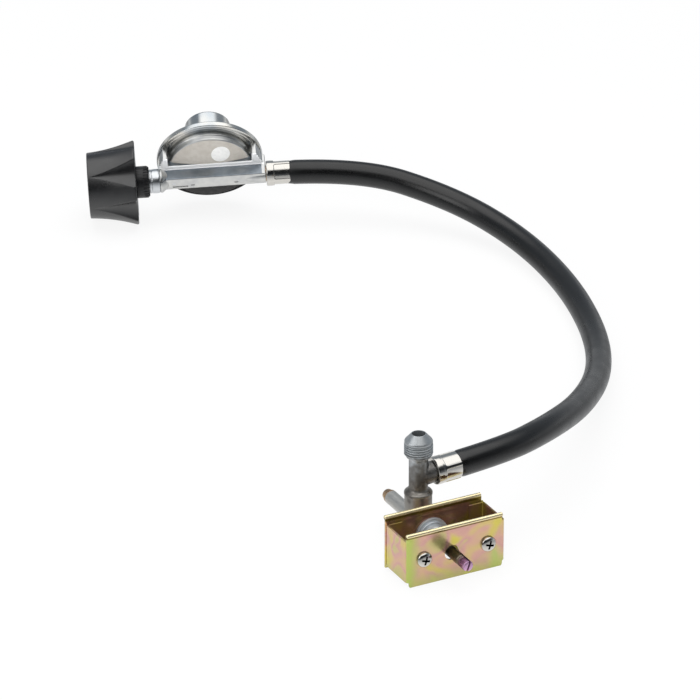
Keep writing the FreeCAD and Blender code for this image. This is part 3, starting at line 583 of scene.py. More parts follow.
materials = {
    # Glass-filled nylon, moulded: near black and satin, with a faint cloudy sheen where the mould was
    # polished.
    "nut_plastic": plain(
        "glass_filled_nylon", "#101011", 0, 0.36, IOR=1.5, Specular_IOR_Level=1.0,
        patches=(7, "#08080A", "#0F0F10"), gloss=(9, 0.26, 0.36), relief=(0.5, 0.12, 0.04),
    ),
    # Acetal, moulded: black with a softer gloss than nylon.
    "bush_plastic": plain("acetal", "#141416", 0, 0.35, IOR=1.48, gloss=(4, 0.28, 0.42)),
    # Clear zinc on turned steel: bright and satin, with a cold tint.
    "nipple_steel": plain("satin_zinc", "#DADDE0", 1, 0.3, regulator, gloss=(3, 0.26, 0.36)),
    # Nickel plate on pressed steel: nearly a mirror, slightly warm, with faint rubbing marks.
    "crimped_nickel": plain(
        "bright_nickel", "#D6D3CD", 1, 0.14, gloss=(3, 0.08, 0.2), relief=(2.5, 0.12, 0.05),
    ),
    "screw_nickel": screw_nickel(),
    # Free-cutting brass, turned and left bright.
    "turned_brass": plain(
        "turned_brass", "#C4A47C", 1, 0.28, patches=(4, "#B9977A", "#CDAE86"), gloss=(2, 0.2, 0.32),
    ),
    # Moulded rubber for seals and the diaphragm: matt black, cloudy with bloom.
    "seal_rubber": plain("moulded_seal", "#1A1918", 0, 0.7, IOR=1.5, patches=(3, "#151413", "#232220")),
    # Drawn wire: dull silver with a slight oil film.
    "spring_steel": plain("spring_steel", "#8F8F8D", 1, 0.35, gloss=(1, 0.28, 0.45)),
    "cast_zinc": die_cast_zinc(),
    "bonnet_zinc": bright_zinc(),
    # Moulded polypropylene, in its natural white and in dark grey: waxy, with a satin surface.
    "plug_plastic": plain(
        "natural_polypropylene", "#D6D5CF", 0, 0.45, IOR=1.49, patches=(4, "#D6D5CF", "#E0DFDA"),
    ),
    "cap_plastic": plain(
        "dark_polypropylene", "#26272A", 0, 0.45, IOR=1.49, patches=(4, "#26272A", "#2E2F32"),
    ),
    # White vinyl film with a soft gloss.
    "label_film": plain("vinyl_label", "#F1F1EF", 0, 0.38, IOR=1.49, patches=(2, "#ECECEA", "#F6F6F4")),
    "hose_rubber": hose_rubber(),
    "valve_casting": blasted_casting(),
    "dark_stem": passivated_stem(),
    # Clear blue zinc on turned steel: pale and satin.
    "gland_steel": plain("blued_gland", "#D2D8DD", 0.7, 0.36, gloss=(2, 0.3, 0.42)),
    "yellow_zinc": yellow_chromate(),
}
materials["diaphragm_rubber"] = materials["seal_rubber"]
materials["pressed_steel"] = materials["spring_steel"]
materials["vent_mesh"] = materials["spring_steel"]
dome_material = etched_dome()

slots = {entry["node"]: entry["material_slot"] for entry in frame["record"]["subparts"]}
for name, node in nodes.items():
    node.data.materials.clear()
    node.data.materials.append(materials[slots[name]])


def fit(piece, node, body=BASE, material=None):
    """Puts a finished piece on its body, in the place of the node that it stands for."""
    piece.data.materials.clear()
    piece.data.materials.append(material or materials[slots[node]])
    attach(piece, body)
    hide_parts(node)


# Camera. The photograph is a long-lens view from above, to the right of the bracket's front.
lens_pixels = 5200
picture_pixels = 700
camera_turn = math.radians(-27.52)
camera_drop = math.radians(25.8)
camera_place = Vector((-1249.48, -2428.4, 1334.2)) * MM
camera_data = bpy.data.cameras.new("camera")
camera_data.sensor_width = 36
camera_data.lens = lens_pixels / picture_pixels * camera_data.sensor_width
camera_data.clip_end = 20
camera = bpy.data.objects.new("camera", camera_data)
camera.matrix_world = (
    Matrix.Translation(camera_place)
    @ Matrix.Rotation(camera_turn, 4, "Z")
    @ Matrix.Rotation(math.pi / 2 - camera_drop, 4, "X")
)
scene = bpy.context.scene
scene.collection.objects.link(camera)
scene.camera = camera
scene.view_settings.view_transform = "Standard"


# Hose


def traced_path(route):
    """Points in metres along the smooth curve that the route's points in mm pull on."""
    curve = bpy.data.curves.new("route", "CURVE")
    curve.dimensions = "3D"
    spline = curve.splines.new("NURBS")
    spline.points.add(len(route) - 1)
    spline.points.foreach_set("co", np.c_[np.array(route) * MM, np.ones(len(route))].ravel())
    spline.order_u = 3
    spline.use_endpoint_u = True
    spline.resolution_u = 40
    line = bpy.data.objects.new("route", curve)
    scene.collection.objects.link(line)
    bpy.context.view_layer.update()
    traced = bpy.data.meshes.new_from_object(line)
    path = np.zeros(len(traced.vertices) * 3)
    traced.vertices.foreach_get("co", path)
    bpy.data.objects.remove(line)
    return path.reshape(-1, 3)


def hose():
    """A round tube along the route's curve, crimped smaller in each ferrule. Its UV map runs once round it,
    and ten times along each metre."""
    route = [
        (68.26, 211.32, 29.81),
        (118.24, 188.55, 32.69),
        (161.7, 144, 20.5),
        (179.7, 92, 11.7),
        (177.7, 29, 7.55),
        (158.7, -39, 7.55),
        (127.7, -99, 14.2),
        (82.7, -156, 29),
        (36.2, -198.9, 43.6),
        (-4.2, -218.3, 47.22),
        (-46.14, -218.3, 45.02),
    ]
    radius, crimped = 7.55, 6.93
    crimp_end, full_size = 13.9, 15.0
    path = traced_path(route)
    step = np.linalg.norm(np.diff(path, axis=0), axis=1)
    reach = np.concatenate([[0], np.cumsum(step)])
    length = reach[-1]
    ahead = np.gradient(path, axis=0)
    ahead /= np.linalg.norm(ahead, axis=1, keepdims=True)
    side = np.cross(ahead, (0, 0, 1))
    side /= np.linalg.norm(side, axis=1, keepdims=True)
    up = np.cross(side, ahead)
    angle = np.linspace(0, CIRCLE, 72, endpoint=False)[None, :, None]
    from_end = np.minimum(reach, length - reach) / MM
    thick = crimped + (radius - crimped) * smoothstep(crimp_end, full_size, from_end)
    thick = thick[:, None, None] * MM
    grid = path[:, None] + thick * (np.cos(angle) * side[:, None] + np.sin(angle) * up[:, None])
    piece = skin("fuel_hose", grid / MM, Matrix.Identity(4))

    mesh = piece.data
    corners = np.zeros(len(mesh.loops), int)
    mesh.loops.foreach_get("vertex_index", corners)
    points = np.zeros(len(mesh.vertices) * 3)
    mesh.vertices.foreach_get("co", points)
    points = points.reshape(-1, 3)
    nearest = np.array([np.argmin(((path - point) ** 2).sum(1)) for point in points])
    out = points - path[nearest]
    turn = np.arctan2((out * up[nearest]).sum(1), (out * side[nearest]).sum(1)) / CIRCLE + 0.5
    across = turn[corners].reshape(-1)
    lengthwise = reach[nearest][corners] * 10
    first_corner = [polygon.loop_indices[0] for polygon in mesh.polygons]
    seam = np.repeat(first_corner, [polygon.loop_total for polygon in mesh.polygons])
    across = np.where(across - across[seam] > 0.5, across - 1, across)
    across = np.where(across[seam] - across > 0.5, across + 1, across)
    layer = mesh.uv_layers.new(name="hose")
    layer.data.foreach_set("uv", np.c_[across, lengthwise].ravel())
    fit(piece, "hose")


# Coupling nut and inlet


def coupling_nut():
    """A turned body whose outer radius follows a parabola through three radii. Six cones with their tips at
    the mouth's edge scoop it: where a ray from the axis meets a cone sooner, that root of the cone's
    quadratic is the radius. The mouth's thread is a trapezoid wave in height less angle. In the outline, a
    radius near 200 stands for the outer surface, less what it is short of 200."""
    front, rear, rear_radius = -76.0, -46.2, 26.1
    middle, middle_radius = -61.0, 22.3
    mouth_radius, mouth_edge, rear_edge = 20.4, 0.6, 0.9
    last_fit = rear - 1.1
    flare = np.polyfit([front + mouth_edge, middle, last_fit], [mouth_radius, middle_radius, rear_radius], 2)
    tip, tip_radius = -75.0, 20.4
    lean, half_angle = math.radians(27.5), math.radians(25.8)
    first_scoop = math.radians(-33)
    sector = math.radians(60)
    minor, major, pitch = 15.9, 16.7, 5.08
    hole = 8.2
    wall = -53.0
    surface = 200.0

    def outer(x, angle):
        radius = np.polyval(flare, np.clip(x, front + mouth_edge, last_fit))
        off = (angle - first_scoop + sector / 2) % sector - sector / 2
        along = np.maximum(x - tip, 1e-6)
        narrow = math.cos(half_angle) ** 2
        start = along * math.cos(lean) - tip_radius * math.sin(lean)
        slope = np.cos(off) * math.sin(lean)
        a = slope ** 2 - narrow
        b = 2 * start * slope + 2 * narrow * tip_radius * np.cos(off)
        c = start ** 2 - narrow * (along ** 2 + tip_radius ** 2)
        root = b ** 2 - 4 * a * c
        near = (np.sqrt(np.maximum(root, 0)) - b) / (2 * a)
        return np.where((root > 0) & (x > tip), np.minimum(radius, near), radius)

    def form(x, r, angle):
        full = outer(x, angle)
        radius = np.where(r > surface / 2, full - (surface - r), r)
        blend = (r > hole + 0.01) & (r < surface / 2) & (x > rear - 1e-6)
        radius = np.where(blend, hole + (r - hole) / (rear_radius - hole) * (full - hole), radius)
        turn = ((x - wall) / pitch - angle / CIRCLE) % 1
        tooth = smoothstep(0.16, 0.28, turn) - smoothstep(0.72, 0.84, turn)
        window = smoothstep(front + 1.6, front + 3.4, x) - smoothstep(wall - 3.0, wall - 1.5, x)
        bored = np.abs(r - minor) < 1e-6
        return np.where(bored, minor + (major - minor) * tooth * window, radius)

    bend = np.linspace(0, math.pi / 2, 6)
    outline = joined(
        [(wall, minor)],
        np.c_[np.linspace(wall - 0.3, front + 1.7, 80), np.full(80, minor)],
        [(front + 1.6, minor), (front, 18.2), (front, mouth_radius - 0.7)],
        np.c_[front + mouth_edge * (1 - np.cos(bend)), surface - mouth_edge * (1 - np.sin(bend))],
        np.c_[np.linspace(front + 0.7, rear - rear_edge - 0.1, 96), np.full(96, surface)],
        np.c_[rear - rear_edge * (1 - np.sin(bend)), surface - rear_edge * (1 - np.cos(bend))],
        [(rear, 22.0), (rear, 14.0), (rear, hole), (wall, hole)],
    )
    piece = turned("hand_nut", outline, regulator, segments=420, form=form, crease=55)
    fit(piece, "coupling_nut", "nut")


def nut_bush():
    """A turned sleeve. Round its rear edge the radius is a row of small teeth."""
    front, rear, radius, bore = -46.2, -38.2, 9.9, 7.06
    teeth, tooth_depth = 30, 0.45

    def form(x, r, angle):
        crest = 0.5 + 0.5 * np.tanh(6 * np.cos(teeth * angle))
        window = smoothstep(rear - 3.6, rear - 3.3, x) * (r > 8.7)
        return r - tooth_depth * window * (1 - crest)

    corners = [
        (-53.0, bore), (-53.0, 8.2), (front, 8.2), (front, radius, 0.4), (rear - 3.7, radius),
        (rear - 3.5, radius), (rear - 3.2, radius), (rear - 1.3, radius), (rear, radius - 1.0, 0.3),
        (rear, bore, 0.2),
    ]
    fit(turned("nut_bush", rounded(corners), regulator, segments=360, form=form), "nut_collar", "nut")


def nipple():
    """The bright tube through the nut, with the flange that holds the nut and turned rings at its root."""
    corners = [
        (-60.0, 5.4), (-60.0, 9.0, 0.4), (-55.6, 9.0), (-55.6, 11.0, 0.3), (-53.4, 11.0, 0.3),
        (-53.4, 7.0), (-38.0, 7.0), (-38.0, 7.45, 0.3), (-37.2, 7.45, 0.3), (-36.9, 7.2, 0.3),
        (-36.2, 7.5, 0.6), (-34.5, 7.55, 0.4), (-32.6, 7.5, 0.5), (-31.5, 7.0, 0.4), (-31.5, 3.5),
        (-22.0, 3.5), (-22.0, 2.2), (-49.0, 2.2), (-49.0, 2.8), (-55.8, 2.8), (-55.8, 5.4),
    ]
    fit(turned("inlet_tube", rounded(corners), regulator), "inlet_nipple")


def nose():
    """The turned brass probe in the nut's mouth, with the groove of its seal."""
    corners = [
        (-55.8, 3.8), (-55.8, 5.4), (-60.0, 5.4), (-60.0, 8.0, 0.4), (-62.0, 8.0, 0.4),
        (-62.0, 6.6, 0.2), (-64.2, 6.6, 0.2), (-64.2, 5.2, 0.2), (-66.2, 5.2, 0.2), (-66.2, 6.6, 0.2),
        (-67.6, 6.6, 0.6), (-70.0, 4.4, 0.5), (-70.0, 1.8, 0.2), (-66.0, 1.8), (-66.0, 3.8),
    ]
    fit(turned("brass_nose", rounded(corners), regulator), "nipple_nose")


# Regulator


def regulator_casting():
    """The gas bar, its ledge and end pads, and the dome's wall and flange, cast as one. Each pad is four
    blocks whose ends step back along the disc's edge. A slot and two small marks are cut into the bar."""
    wall = rounded([
        (16.4, 0), (16.4, 31.3), (14.7, 31.3), (14.7, 26.9), (11.7, 26.5), (11.4, 26.0), (8.6, 25.7),
        (8.2, 25.3), (8.2, 24.0), (9.0, 23.6), (9.0, 0),
    ])
    shoulder = rounded([(-31.5, 0), (-31.5, 7.5), (-30.4, 7.5, 0.8), (-26.5, 4.4), (-26.5, 0)])
    boss = rounded([
        (20.0, 0), (22.0, 4.3), (30.5, 5.3, 1), (bar_reach, 5.3, 0.4), (bar_reach, 0),
    ])
    flattened = regulator @ Matrix.Diagonal((1, 0.87, 1, 1))
    floor_height, pad_height = 12, 14.4
    bar_corners = (-28.5, -bar_half, bar_face), (bar_reach, bar_half, floor_height)
    ledge_corners = (-30, -ledge_half, ledge_face), (32.1, ledge_half, floor_height)
    pad_start, pad_reach = 26.0, 32.3
    forms = [
        turned("wall", wall, regulator @ along_z),
        rounded_block("bar", *bar_corners, 0.5, regulator),
        rounded_block("ledge", *ledge_corners, 0.4, regulator),
        turned("shoulder", shoulder, regulator),
        turned("boss", boss, flattened),
    ]
    for half in (8, 10, 12, 14):
        reach = math.sqrt(pad_reach ** 2 - half ** 2)
        for side in (-1, 1):
            low, high = sorted((side * pad_start, side * reach))
            pad = rounded_block("pad", (low, -half, ledge_face), (high, half, pad_height), 0.4, regulator)
            forms.append(pad)
    piece = casting("regulator_casting", forms, voxel=0.3, passes=4, share=0.55)
    for low_x, high_x, low_y, high_y, depth in (
        (-24.0, -14.5, -0.9, 2.9, 0.5),
        (-12.7, -10.3, -0.6, 2.0, 0.4),
        (14.3, 16.7, -0.6, 2.0, 0.4),
    ):
        low, high = (low_x, low_y, bar_face - 1), (high_x, high_y, bar_face + depth)
        piece = cut(piece, rounded_block("recess", low, high, 0.08, regulator))
    fit(piece, "regulator_body")


def dome_face():
    """The dome's face inside its rim: a shallow sphere, closed behind."""
    back = 9.6
    r = np.linspace(0, dome_radius, 40)
    outline = joined(np.c_[dome_height(r), r], [(back, dome_radius), (back, 0)])
    piece = turned("dome_face", outline, regulator @ along_z, segments=144)
    fit(piece, "regulator_body", material=dome_material)


def bonnet_shell():
    """The rolled rim, the shoulder and the spring's tower, turned, with the small vent boss underneath."""
    corners = [
        (13.7, 27.4, 0.3), (13.7, 30.2, 0.2), (13.95, 30.5, 0.2), (13.7, 30.8, 0.2), (13.7, 32.9, 0.7),
        (16.9, 32.9, 0.5), (18.9, 30.6, 0.8), (20.6, 28.6, 1.2), (26.6, 16.6, 2.0), (28.4, 14.2, 1.6),
        (42.5, 14.2, 1.4), (42.5, 11.8, 0.3), (27.2, 11.8), (25.4, 15.4), (19.4, 27.3), (17.2, 27.3),
        (17.2, 31.3), (14.7, 31.3), (14.7, 27.4, 0.3),
    ]
    shell = turned("bonnet_shell", rounded(corners, 7), regulator @ along_z, segments=180)
    fit(shell, "bonnet")
    vent_offset = 24.5
    boss = rounded([(20.0, 2.2), (20.0, 3.6), (25.2, 3.6, 0.5), (25.2, 2.2, 0.2)])
    fit(turned("vent_boss", boss, shifted(regulator, y=vent_offset) @ along_z, segments=48), "bonnet")


def blank_label():
    """A thin round film on the dome: a patch of its sphere with a turned-down edge."""
    radius, middle_x, middle_y = 5.8, 6.9, -14.1
    r = np.array([0, 0.25, 0.5, 0.75, 0.97, 1.0, 1.0, 0])[:, None] * radius
    lift = np.array([0.15, 0.15, 0.15, 0.15, 0.15, 0.08, -0.02, -0.02])[:, None]
    angle = np.linspace(0, CIRCLE, 64, endpoint=False)[None, :]
    x = middle_x + r * np.cos(angle)
    y = middle_y + r * np.sin(angle)
    fit(skin("blank_label", np.stack([x, y, dome_height(x, y, lift)], axis=-1), regulator), "label_disc")


# Ferrules and barbs


def ferrule(name, place, node, panel_turn):
    """A crimped sleeve: a rolled round end, then four wide panels pressed in out to the mouth. The depth of a
    panel follows the signed distance to a rectangle with round corners, laid round the sleeve, and it grows
    towards the panel's middle."""
    length, shoulder, ridge, bore = 14.7, 7.85, 7.75, 6.97
    quarter = math.pi / 2
    half_panel = math.radians(38.5) * ridge
    start, corner, depth = 4.7, 1.3, 0.3

    def form(x, r, angle):
        off = np.abs((angle - panel_turn + quarter / 2) % quarter - quarter / 2) * ridge
        across = off - (half_panel - corner)
        back = start + corner - x
        outside = np.hypot(np.maximum(across, 0), np.maximum(back, 0)) - corner
        distance = np.minimum(np.maximum(across, back), 0) + outside
        flatter = depth * (1 - (off / half_panel) ** 2)
        pressed = (depth + flatter) * (1 - smoothstep(-0.3, 0.1, distance))
        return np.where(r > 7.5, r - pressed, r)

    side = np.linspace(2.1, length - 0.3, 80)
    step = shoulder - (shoulder - ridge) * smoothstep(start - 1.6, start - 0.3, side)
    outline = joined(
        [(0, 4.8), (0, 5.6)],
        rounded([(0, 6.2), (0, shoulder, 1.8), (2.0, shoulder)], 9)[1:],
        np.c_[side, step],
        [(length - 0.08, ridge - 0.03), (length, ridge - 0.2), (length, bore), (0.6, bore), (0.6, 4.8)],
    )
    fit(turned(name, outline, place, segments=384, form=form, crease=30), node)


def hose_tail(name, place, node, shoulder):
    """The tube that the hose is pushed on, from inside its socket to the end of its barbs."""
    foot = shoulder + 0.3
    bore, socket, root, barb, end = 3.2, 4.0, 4.75, 5.15, 4.55
    ridges = [(foot, root)]
    for ridge in range(3):
        start = foot + 1.6 + 3.6 * ridge
        ridges += [(start, root), (start + 0.1, barb), (start + 2.4, root)]
    outline = [(shoulder - 5.5, bore), (shoulder - 5.5, socket), (shoulder, socket), (shoulder, root)]
    outline += ridges + [(foot + 13.2, end), (foot + 13.2, bore)]
    fit(turned(name, outline, place, segments=64), node)


# Valve


def valve_casting():
    """The level barrel and its stub, the upright barrel and neck, and the round arm to the hose, cast as
    one."""
    level = rounded([
        (-13.2, 0), (-13.2, 9.0, 0.5), (-11.2, 9.0, 0.5), (-10.6, 7.6, 0.3), (7.2, 7.6, 1.2), (9.8, 4.6, 1.0),
        (12.0, 4.4), (12.0, 0),
    ])
    stub = [(2, 0), (2, 4.0), (stub_reach, 4.0), (stub_reach, 0)]
    upright = rounded([
        (0, 0), (0, 7.6), (17.7, 7.6), (18.0, 7.85, 0.2), (19.3, 7.85, 0.3), (20.0, 7.1, 0.3),
        (20.4, 6.3, 0.4), (21.5, 5.3, 0.8), (39.1, 5.3, 0.5), (41.6, 7.0, 0.4), (42.4, 7.0), (42.4, 0),
    ])
    arm = rounded([
        (0, 0), (0, 4.8), (2.7, 6.0, 1.2), (5.5, 6.3, 1.4), (port_reach, 5.85, 0.3), (port_reach, 0),
    ])
    forms = [
        turned("level", level, valve @ along_y),
        turned("stub", stub, shifted(valve, z=stub_rise) @ along_y),
        turned("upright", upright, valve @ along_z),
        turned("arm", arm, port),
    ]
    fit(casting("valve_casting", forms, voxel=0.26, passes=3), "valve_body")


def flare_fitting():
    """The flare thread as a helix, a plain land, and the cone with its bore."""
    low, top = 41.7, 54.5
    pitch, crest, root = 1.41, 7.94, 7.05
    thread_top = low + 5 * pitch
    bore, land_radius = 3.7, 7.79

    def form(x, r, angle):
        turn = ((x - low) / pitch - angle / CIRCLE) % 1
        tooth = smoothstep(0.12, 0.88, 1 - np.abs(2 * turn - 1))
        window = smoothstep(low - 0.2, low + 0.7, x) - smoothstep(thread_top - 0.4, thread_top + 0.2, x)
        return np.where(np.abs(r - root) < 1e-6, root + (crest - root) * tooth * window, r)

    rows = 150
    thread = np.c_[np.linspace(low - 0.3, thread_top, rows), np.full(rows, root)]
    land = rounded([
        (thread_top + 0.1, root), (thread_top + 0.45, land_radius, 0.15),
        (thread_top + 1.6, land_radius, 0.6), (51.3, 6.95, 0.8), (top - 0.1, bore + 0.45, 0.2),
        (top, bore + 0.2, 0.1), (top - 0.1, bore, 0.05),
        (44.4, bore), (44.4, 0), (low - 0.9, 0), (low - 0.9, root - 0.3),
    ], 7)
    outline = joined(thread, land)
    fit(turned("flare_fitting", outline, valve @ along_z, segments=144, form=form, crease=50), "valve_body")


def orifice_spud():
    """The turned brass orifice in the end of the stub."""
    corners = [
        (stub_reach, 0.5), (stub_reach, 4.0, 0.2), (33.0, 3.9, 0.2), (33.4, 3.4, 0.2),
        (35.9, 3.1, 0.3), (36.4, 2.6, 0.3), (36.4, 0.5),
    ]
    stub = shifted(valve, z=stub_rise) @ along_y
    fit(turned("orifice_spud", rounded(corners), stub, segments=64), "outlet_spud")


def gland_bush():
    """The turned bush that holds the stem and clamps the bracket to the valve."""
    corners = [
        (-21.8, 3.35, 0.3), (-21.8, 7.0, 1.6), (-17.3, 7.0), (-17.3, 8.2, 0.5), (-16.1, 8.2),
        (-16.1, 9.8, 0.25), (-14.5, 9.8, 0.25), (-14.5, 5.9), (-11.0, 5.9), (-11.0, 4.0),
        (-19.9, 4.0), (-19.9, 3.35),
    ]
    fit(turned("gland_bush", rounded(corners, 7), valve @ along_y), "gland")


def knob_stem():
    """A turned stem whose radius dips at each serration round its tip, split by a slot."""
    tip = -stem_reach - panel_ahead
    radius, serrations, dip = 3.1, 24, 0.25

    def form(x, r, angle):
        wave = smoothstep(0.25, 0.8, 0.5 + 0.5 * np.cos(serrations * angle))
        window = 1 - smoothstep(tip + 6.2, tip + 6.8, x)
        return r - dip * (1 - wave) * window * (r > 2.9)

    outline = joined(
        [(tip, 0), (tip, 2.2), (tip + 0.25, 2.75)],
        np.c_[np.linspace(tip + 0.75, tip + 6.9, 24), np.full(24, radius)],
        rounded([
            (tip + 7.0, 2.85), (tip + 8.0, 2.85, 0.2), (tip + 8.5, radius, 0.2), (-19.8, radius),
            (-19.8, 3.7), (-18.0, 3.7), (-18.0, 2.3), (-13.8, 2.3), (-13.8, 0),
        ]),
    )
    stem = turned("knob_stem", outline, valve @ along_y, segments=192, form=form, crease=45)
    slot_turn = Matrix.Rotation(math.radians(20), 4, "Y")
    slot = rounded_block("slot", (-0.55, tip - 2, -4), (0.55, tip + 10.5, 4), 0.1, valve @ slot_turn)
    tongue = rounded_block("stem_tongue", (-2.05, -14.3, -1.0), (2.05, -5.6, 1.0), 0.1, valve)
    for piece in (cut(stem, slot), tongue):
        fit(piece, "valve_stem", "stem")


# Bracket


def stem_hole(start, end, radius):
    """A round tool through the bracket, on the stem's axis."""
    place = shifted(bracket, x=stem_across, z=stem_height) @ along_y
    return turned("hole", [(start, 0), (start, radius), (end, radius), (end, 0)], place)


def bracket_fold():
    """The folded front piece. A plan line with round bends carries a sheet that stands on edge, and the
    sheet's lower and upper edge follow their own heights along the line. A small block fills the panel's
    left corner above the bend."""
    bend, lap = 1.25, 20.6
    middle = sheet / 2
    inner = panel_half - middle
    back = bracket_depth - sheet - middle
    edge = 0.22
    quarter = np.linspace(0, math.pi / 2, 9)
    back_corner = np.c_[-inner + bend - bend * np.sin(quarter), back - bend + bend * np.cos(quarter)]
    front_corner = np.c_[-inner + bend - bend * np.cos(quarter), middle + bend - bend * np.sin(quarter)]
    front_stops = np.array([-28.25, -hem_right, -27.9, -27.6, -20, -10, 0])
    left = np.concatenate([
        [(-lap, back), (-lap - 3, back)],
        back_corner,
        [(-inner, 12)],
        front_corner,
        np.c_[front_stops, np.full(7, middle)],
    ])
    plan = np.concatenate([left, left[-2::-1] * (-1, 1)])
    ahead = np.gradient(plan, axis=0)
    ahead /= np.linalg.norm(ahead, axis=1, keepdims=True)
    out = np.c_[ahead[:, 1], -ahead[:, 0]]
    across = np.abs(plan[:, 0])
    in_front = plan[:, 1] < middle + 0.01
    high = np.where(in_front & (across < hem_right + 0.01), panel_top, side_top)
    low = np.where(in_front, np.interp(across, [27.9, 28.6], [0.0, 1.3]), 3.0)
    low = np.where(plan[:, 1] > back - 0.01, 1.6, low)
    rows = []
    for side, inset, drop, top in (
        (1, edge, 0, False), (1, 0, edge, False), (1, 0, -edge, True), (1, edge, 0, True),
        (-1, edge, 0, True), (-1, 0, -edge, True), (-1, 0, edge, False), (-1, edge, 0, False),
    ):
        reach = side * (middle - inset)
        height = (high if top else low) + drop
        rows.append(np.c_[plan + out * reach, height])
    piece = skin("bracket_fold", np.stack(rows, axis=1), bracket)
    fit(cut(piece, stem_hole(-3, 3, 4.4)), "bracket_front")
    corner_low, corner_high = (-panel_half, 0.01, side_top - 0.6), (-27.8, sheet - 0.01, panel_top)
    fit(rounded_block("panel_corner", corner_low, corner_high, 0.2, bracket), "bracket_front")


def rolled_rail(name, left, right, y, node):
    """The rolled top edge of a sheet, as a rod with slightly rounded ends."""
    radius, edge = 1.3, 0.3
    half = [(left, 0), (left, radius - edge), (left + edge, radius)]
    outline = half + [(right - edge, radius), (right, radius - edge), (right, 0)]
    fit(turned(name, outline, shifted(bracket, y=y, z=panel_top), segments=40), node)


def bracket_back():
    """The rear plate with its hole, and the part of it that carries the rolled edge."""
    front = bracket_depth - sheet
    plate_low, plate_high = (-panel_half, front, 1.3), (panel_half, bracket_depth, side_top)
    top_low, top_high = (-panel_half, front + 0.01, 27.0), (28.9, bracket_depth - 0.01, panel_top)
    plate = cut(rounded_block("bracket_back", plate_low, plate_high, 0.25, bracket), stem_hole(20, 30, 6.0))
    for piece in (plate, rounded_block("back_top", top_low, top_high, 0.25, bracket)):
        fit(piece, "bracket_rear")


def pan_head(name, x):
    """A pan-head screw with a cross recess, and a threaded shank as a helix."""
    pitch, shank_radius, depth = 0.9, 2.35, 0.4
    arm_long, arm_wide = 2.5, 0.6

    def form(x_along, r, angle):
        turn = (x_along / pitch - angle / CIRCLE) % 1
        tooth = smoothstep(0.1, 0.9, 1 - np.abs(2 * turn - 1))
        window = smoothstep(1.4, 2.0, x_along) - smoothstep(9.0, 9.8, x_along)
        return np.where(np.abs(r - shank_radius) < 1e-6, r - depth * (1 - tooth) * window, r)

    outline = joined(
        [(-2.7, 0), (-2.67, 1.2), (-2.5, 2.4), (-2.15, 3.4), (-1.6, 4.1), (-1.0, 4.42), (-0.4, 4.5)],
        [(-0.02, 4.5), (-0.02, shank_radius)],
        np.c_[np.linspace(0.1, 9.2, 90), np.full(90, shank_radius)],
        [(10, 1.3), (10, 0)],
    )
    place = shifted(bracket, x=x, z=screw_height) @ Matrix.Rotation(math.radians(15), 4, "Y")
    screw = turned(name, outline, place @ along_y, segments=72, form=form)
    for wide, tall in ((arm_long, arm_wide), (arm_wide, arm_long)):
        screw = cut(screw, rounded_block("recess", (-wide, -4, -tall), (wide, -0.7, tall), 0.12, place))
    fit(screw, "bracket_screws")


hose()
coupling_nut()
nut_bush()
nipple()
nose()
regulator_casting()
dome_face()
bonnet_shell()
blank_label()
ferrule("regulator_sleeve", shifted(regulator, bar_reach + 0.2), "regulator_ferrule", math.radians(215))
ferrule("valve_sleeve", shifted(port, port_reach + 0.1), "valve_ferrule", math.radians(196))
hose_tail("regulator_tail", regulator, "regulator_barb", bar_reach)
hose_tail("valve_tail", port, "valve_barb", port_reach)
valve_casting()
flare_fitting()
orifice_spud()
gland_bush()
knob_stem()
bracket_fold()
rolled_rail("front_rail", -panel_half, hem_right, 0, "bracket_front")
rolled_rail("back_rail", -panel_half, 28.9, bracket_depth, "bracket_rear")
bracket_back()
pan_head("left_screw", -screw_across)
pan_head("right_screw", screw_across)


# Floor, backdrop and light


def white_stage(name, reach, shadow_share, mirrored_shadow_share):
    """A white sheet. The camera sees it as nearly plain white with a faint shadow. Glossy surfaces see more
    of its shadow, and see it grey towards the horizon."""
    mesh = bpy.data.meshes.new(name)
    corners = [(-reach, -reach, 0), (reach, -reach, 0), (reach, reach, 0), (-reach, reach, 0)]
    mesh.from_pydata(corners, [], [(0, 1, 2, 3)])
    piece = bpy.data.objects.new(name, mesh)
    scene.collection.objects.link(piece)
    material = bpy.data.materials.new(name)
    material.use_nodes = True
    tree = material.node_tree
    tree.nodes.clear()
    rays = add(tree, "ShaderNodeLightPath").outputs
    seen = [(0, rays["Is Camera Ray"]), (1, rays["Is Transmission Ray"])]
    direct = add(tree, "ShaderNodeMath", seen, operation="MAXIMUM").outputs[0]
    glowing = [
        add(tree, "ShaderNodeMath", [(0, ray), (1, 1 - shadow)], operation="MULTIPLY").outputs[0]
        for ray, shadow in ((direct, shadow_share), (rays["Is Glossy Ray"], mirrored_shadow_share))
    ]
    incoming = add(tree, "ShaderNodeNewGeometry").outputs["Incoming"]
    height = add(tree, "ShaderNodeSeparateXYZ", [("Vector", incoming)]).outputs["Z"]
    slope = add(tree, "ShaderNodeMath", [(0, height)], operation="ABSOLUTE").outputs[0]
    fade = add(tree, "ShaderNodeValToRGB", [("Fac", slope)], [
        (0.0, "#62666A"),
        (0.18, "#6E7276"),
        (0.46, "#CCCED0"),
        (0.85, "#FFFFFF"),
    ])
    white = layered(tree, "#FFFFFF", (rays["Is Glossy Ray"], fade.outputs["Color"]))
    paper = add(tree, "ShaderNodeBsdfDiffuse", [("Color", "#F4F4F4")])
    glow = add(tree, "ShaderNodeEmission", [("Color", white), ("Strength", 1.0)])
    strongest = add(tree, "ShaderNodeMath", enumerate(glowing), operation="MAXIMUM").outputs[0]
    mix = add(tree, "ShaderNodeMixShader", [
        ("Fac", strongest),
        (1, paper.outputs[0]),
        (2, glow.outputs[0]),
    ])
    add(tree, "ShaderNodeOutputMaterial", [("Surface", mix.outputs[0])])
    mesh.materials.append(material)


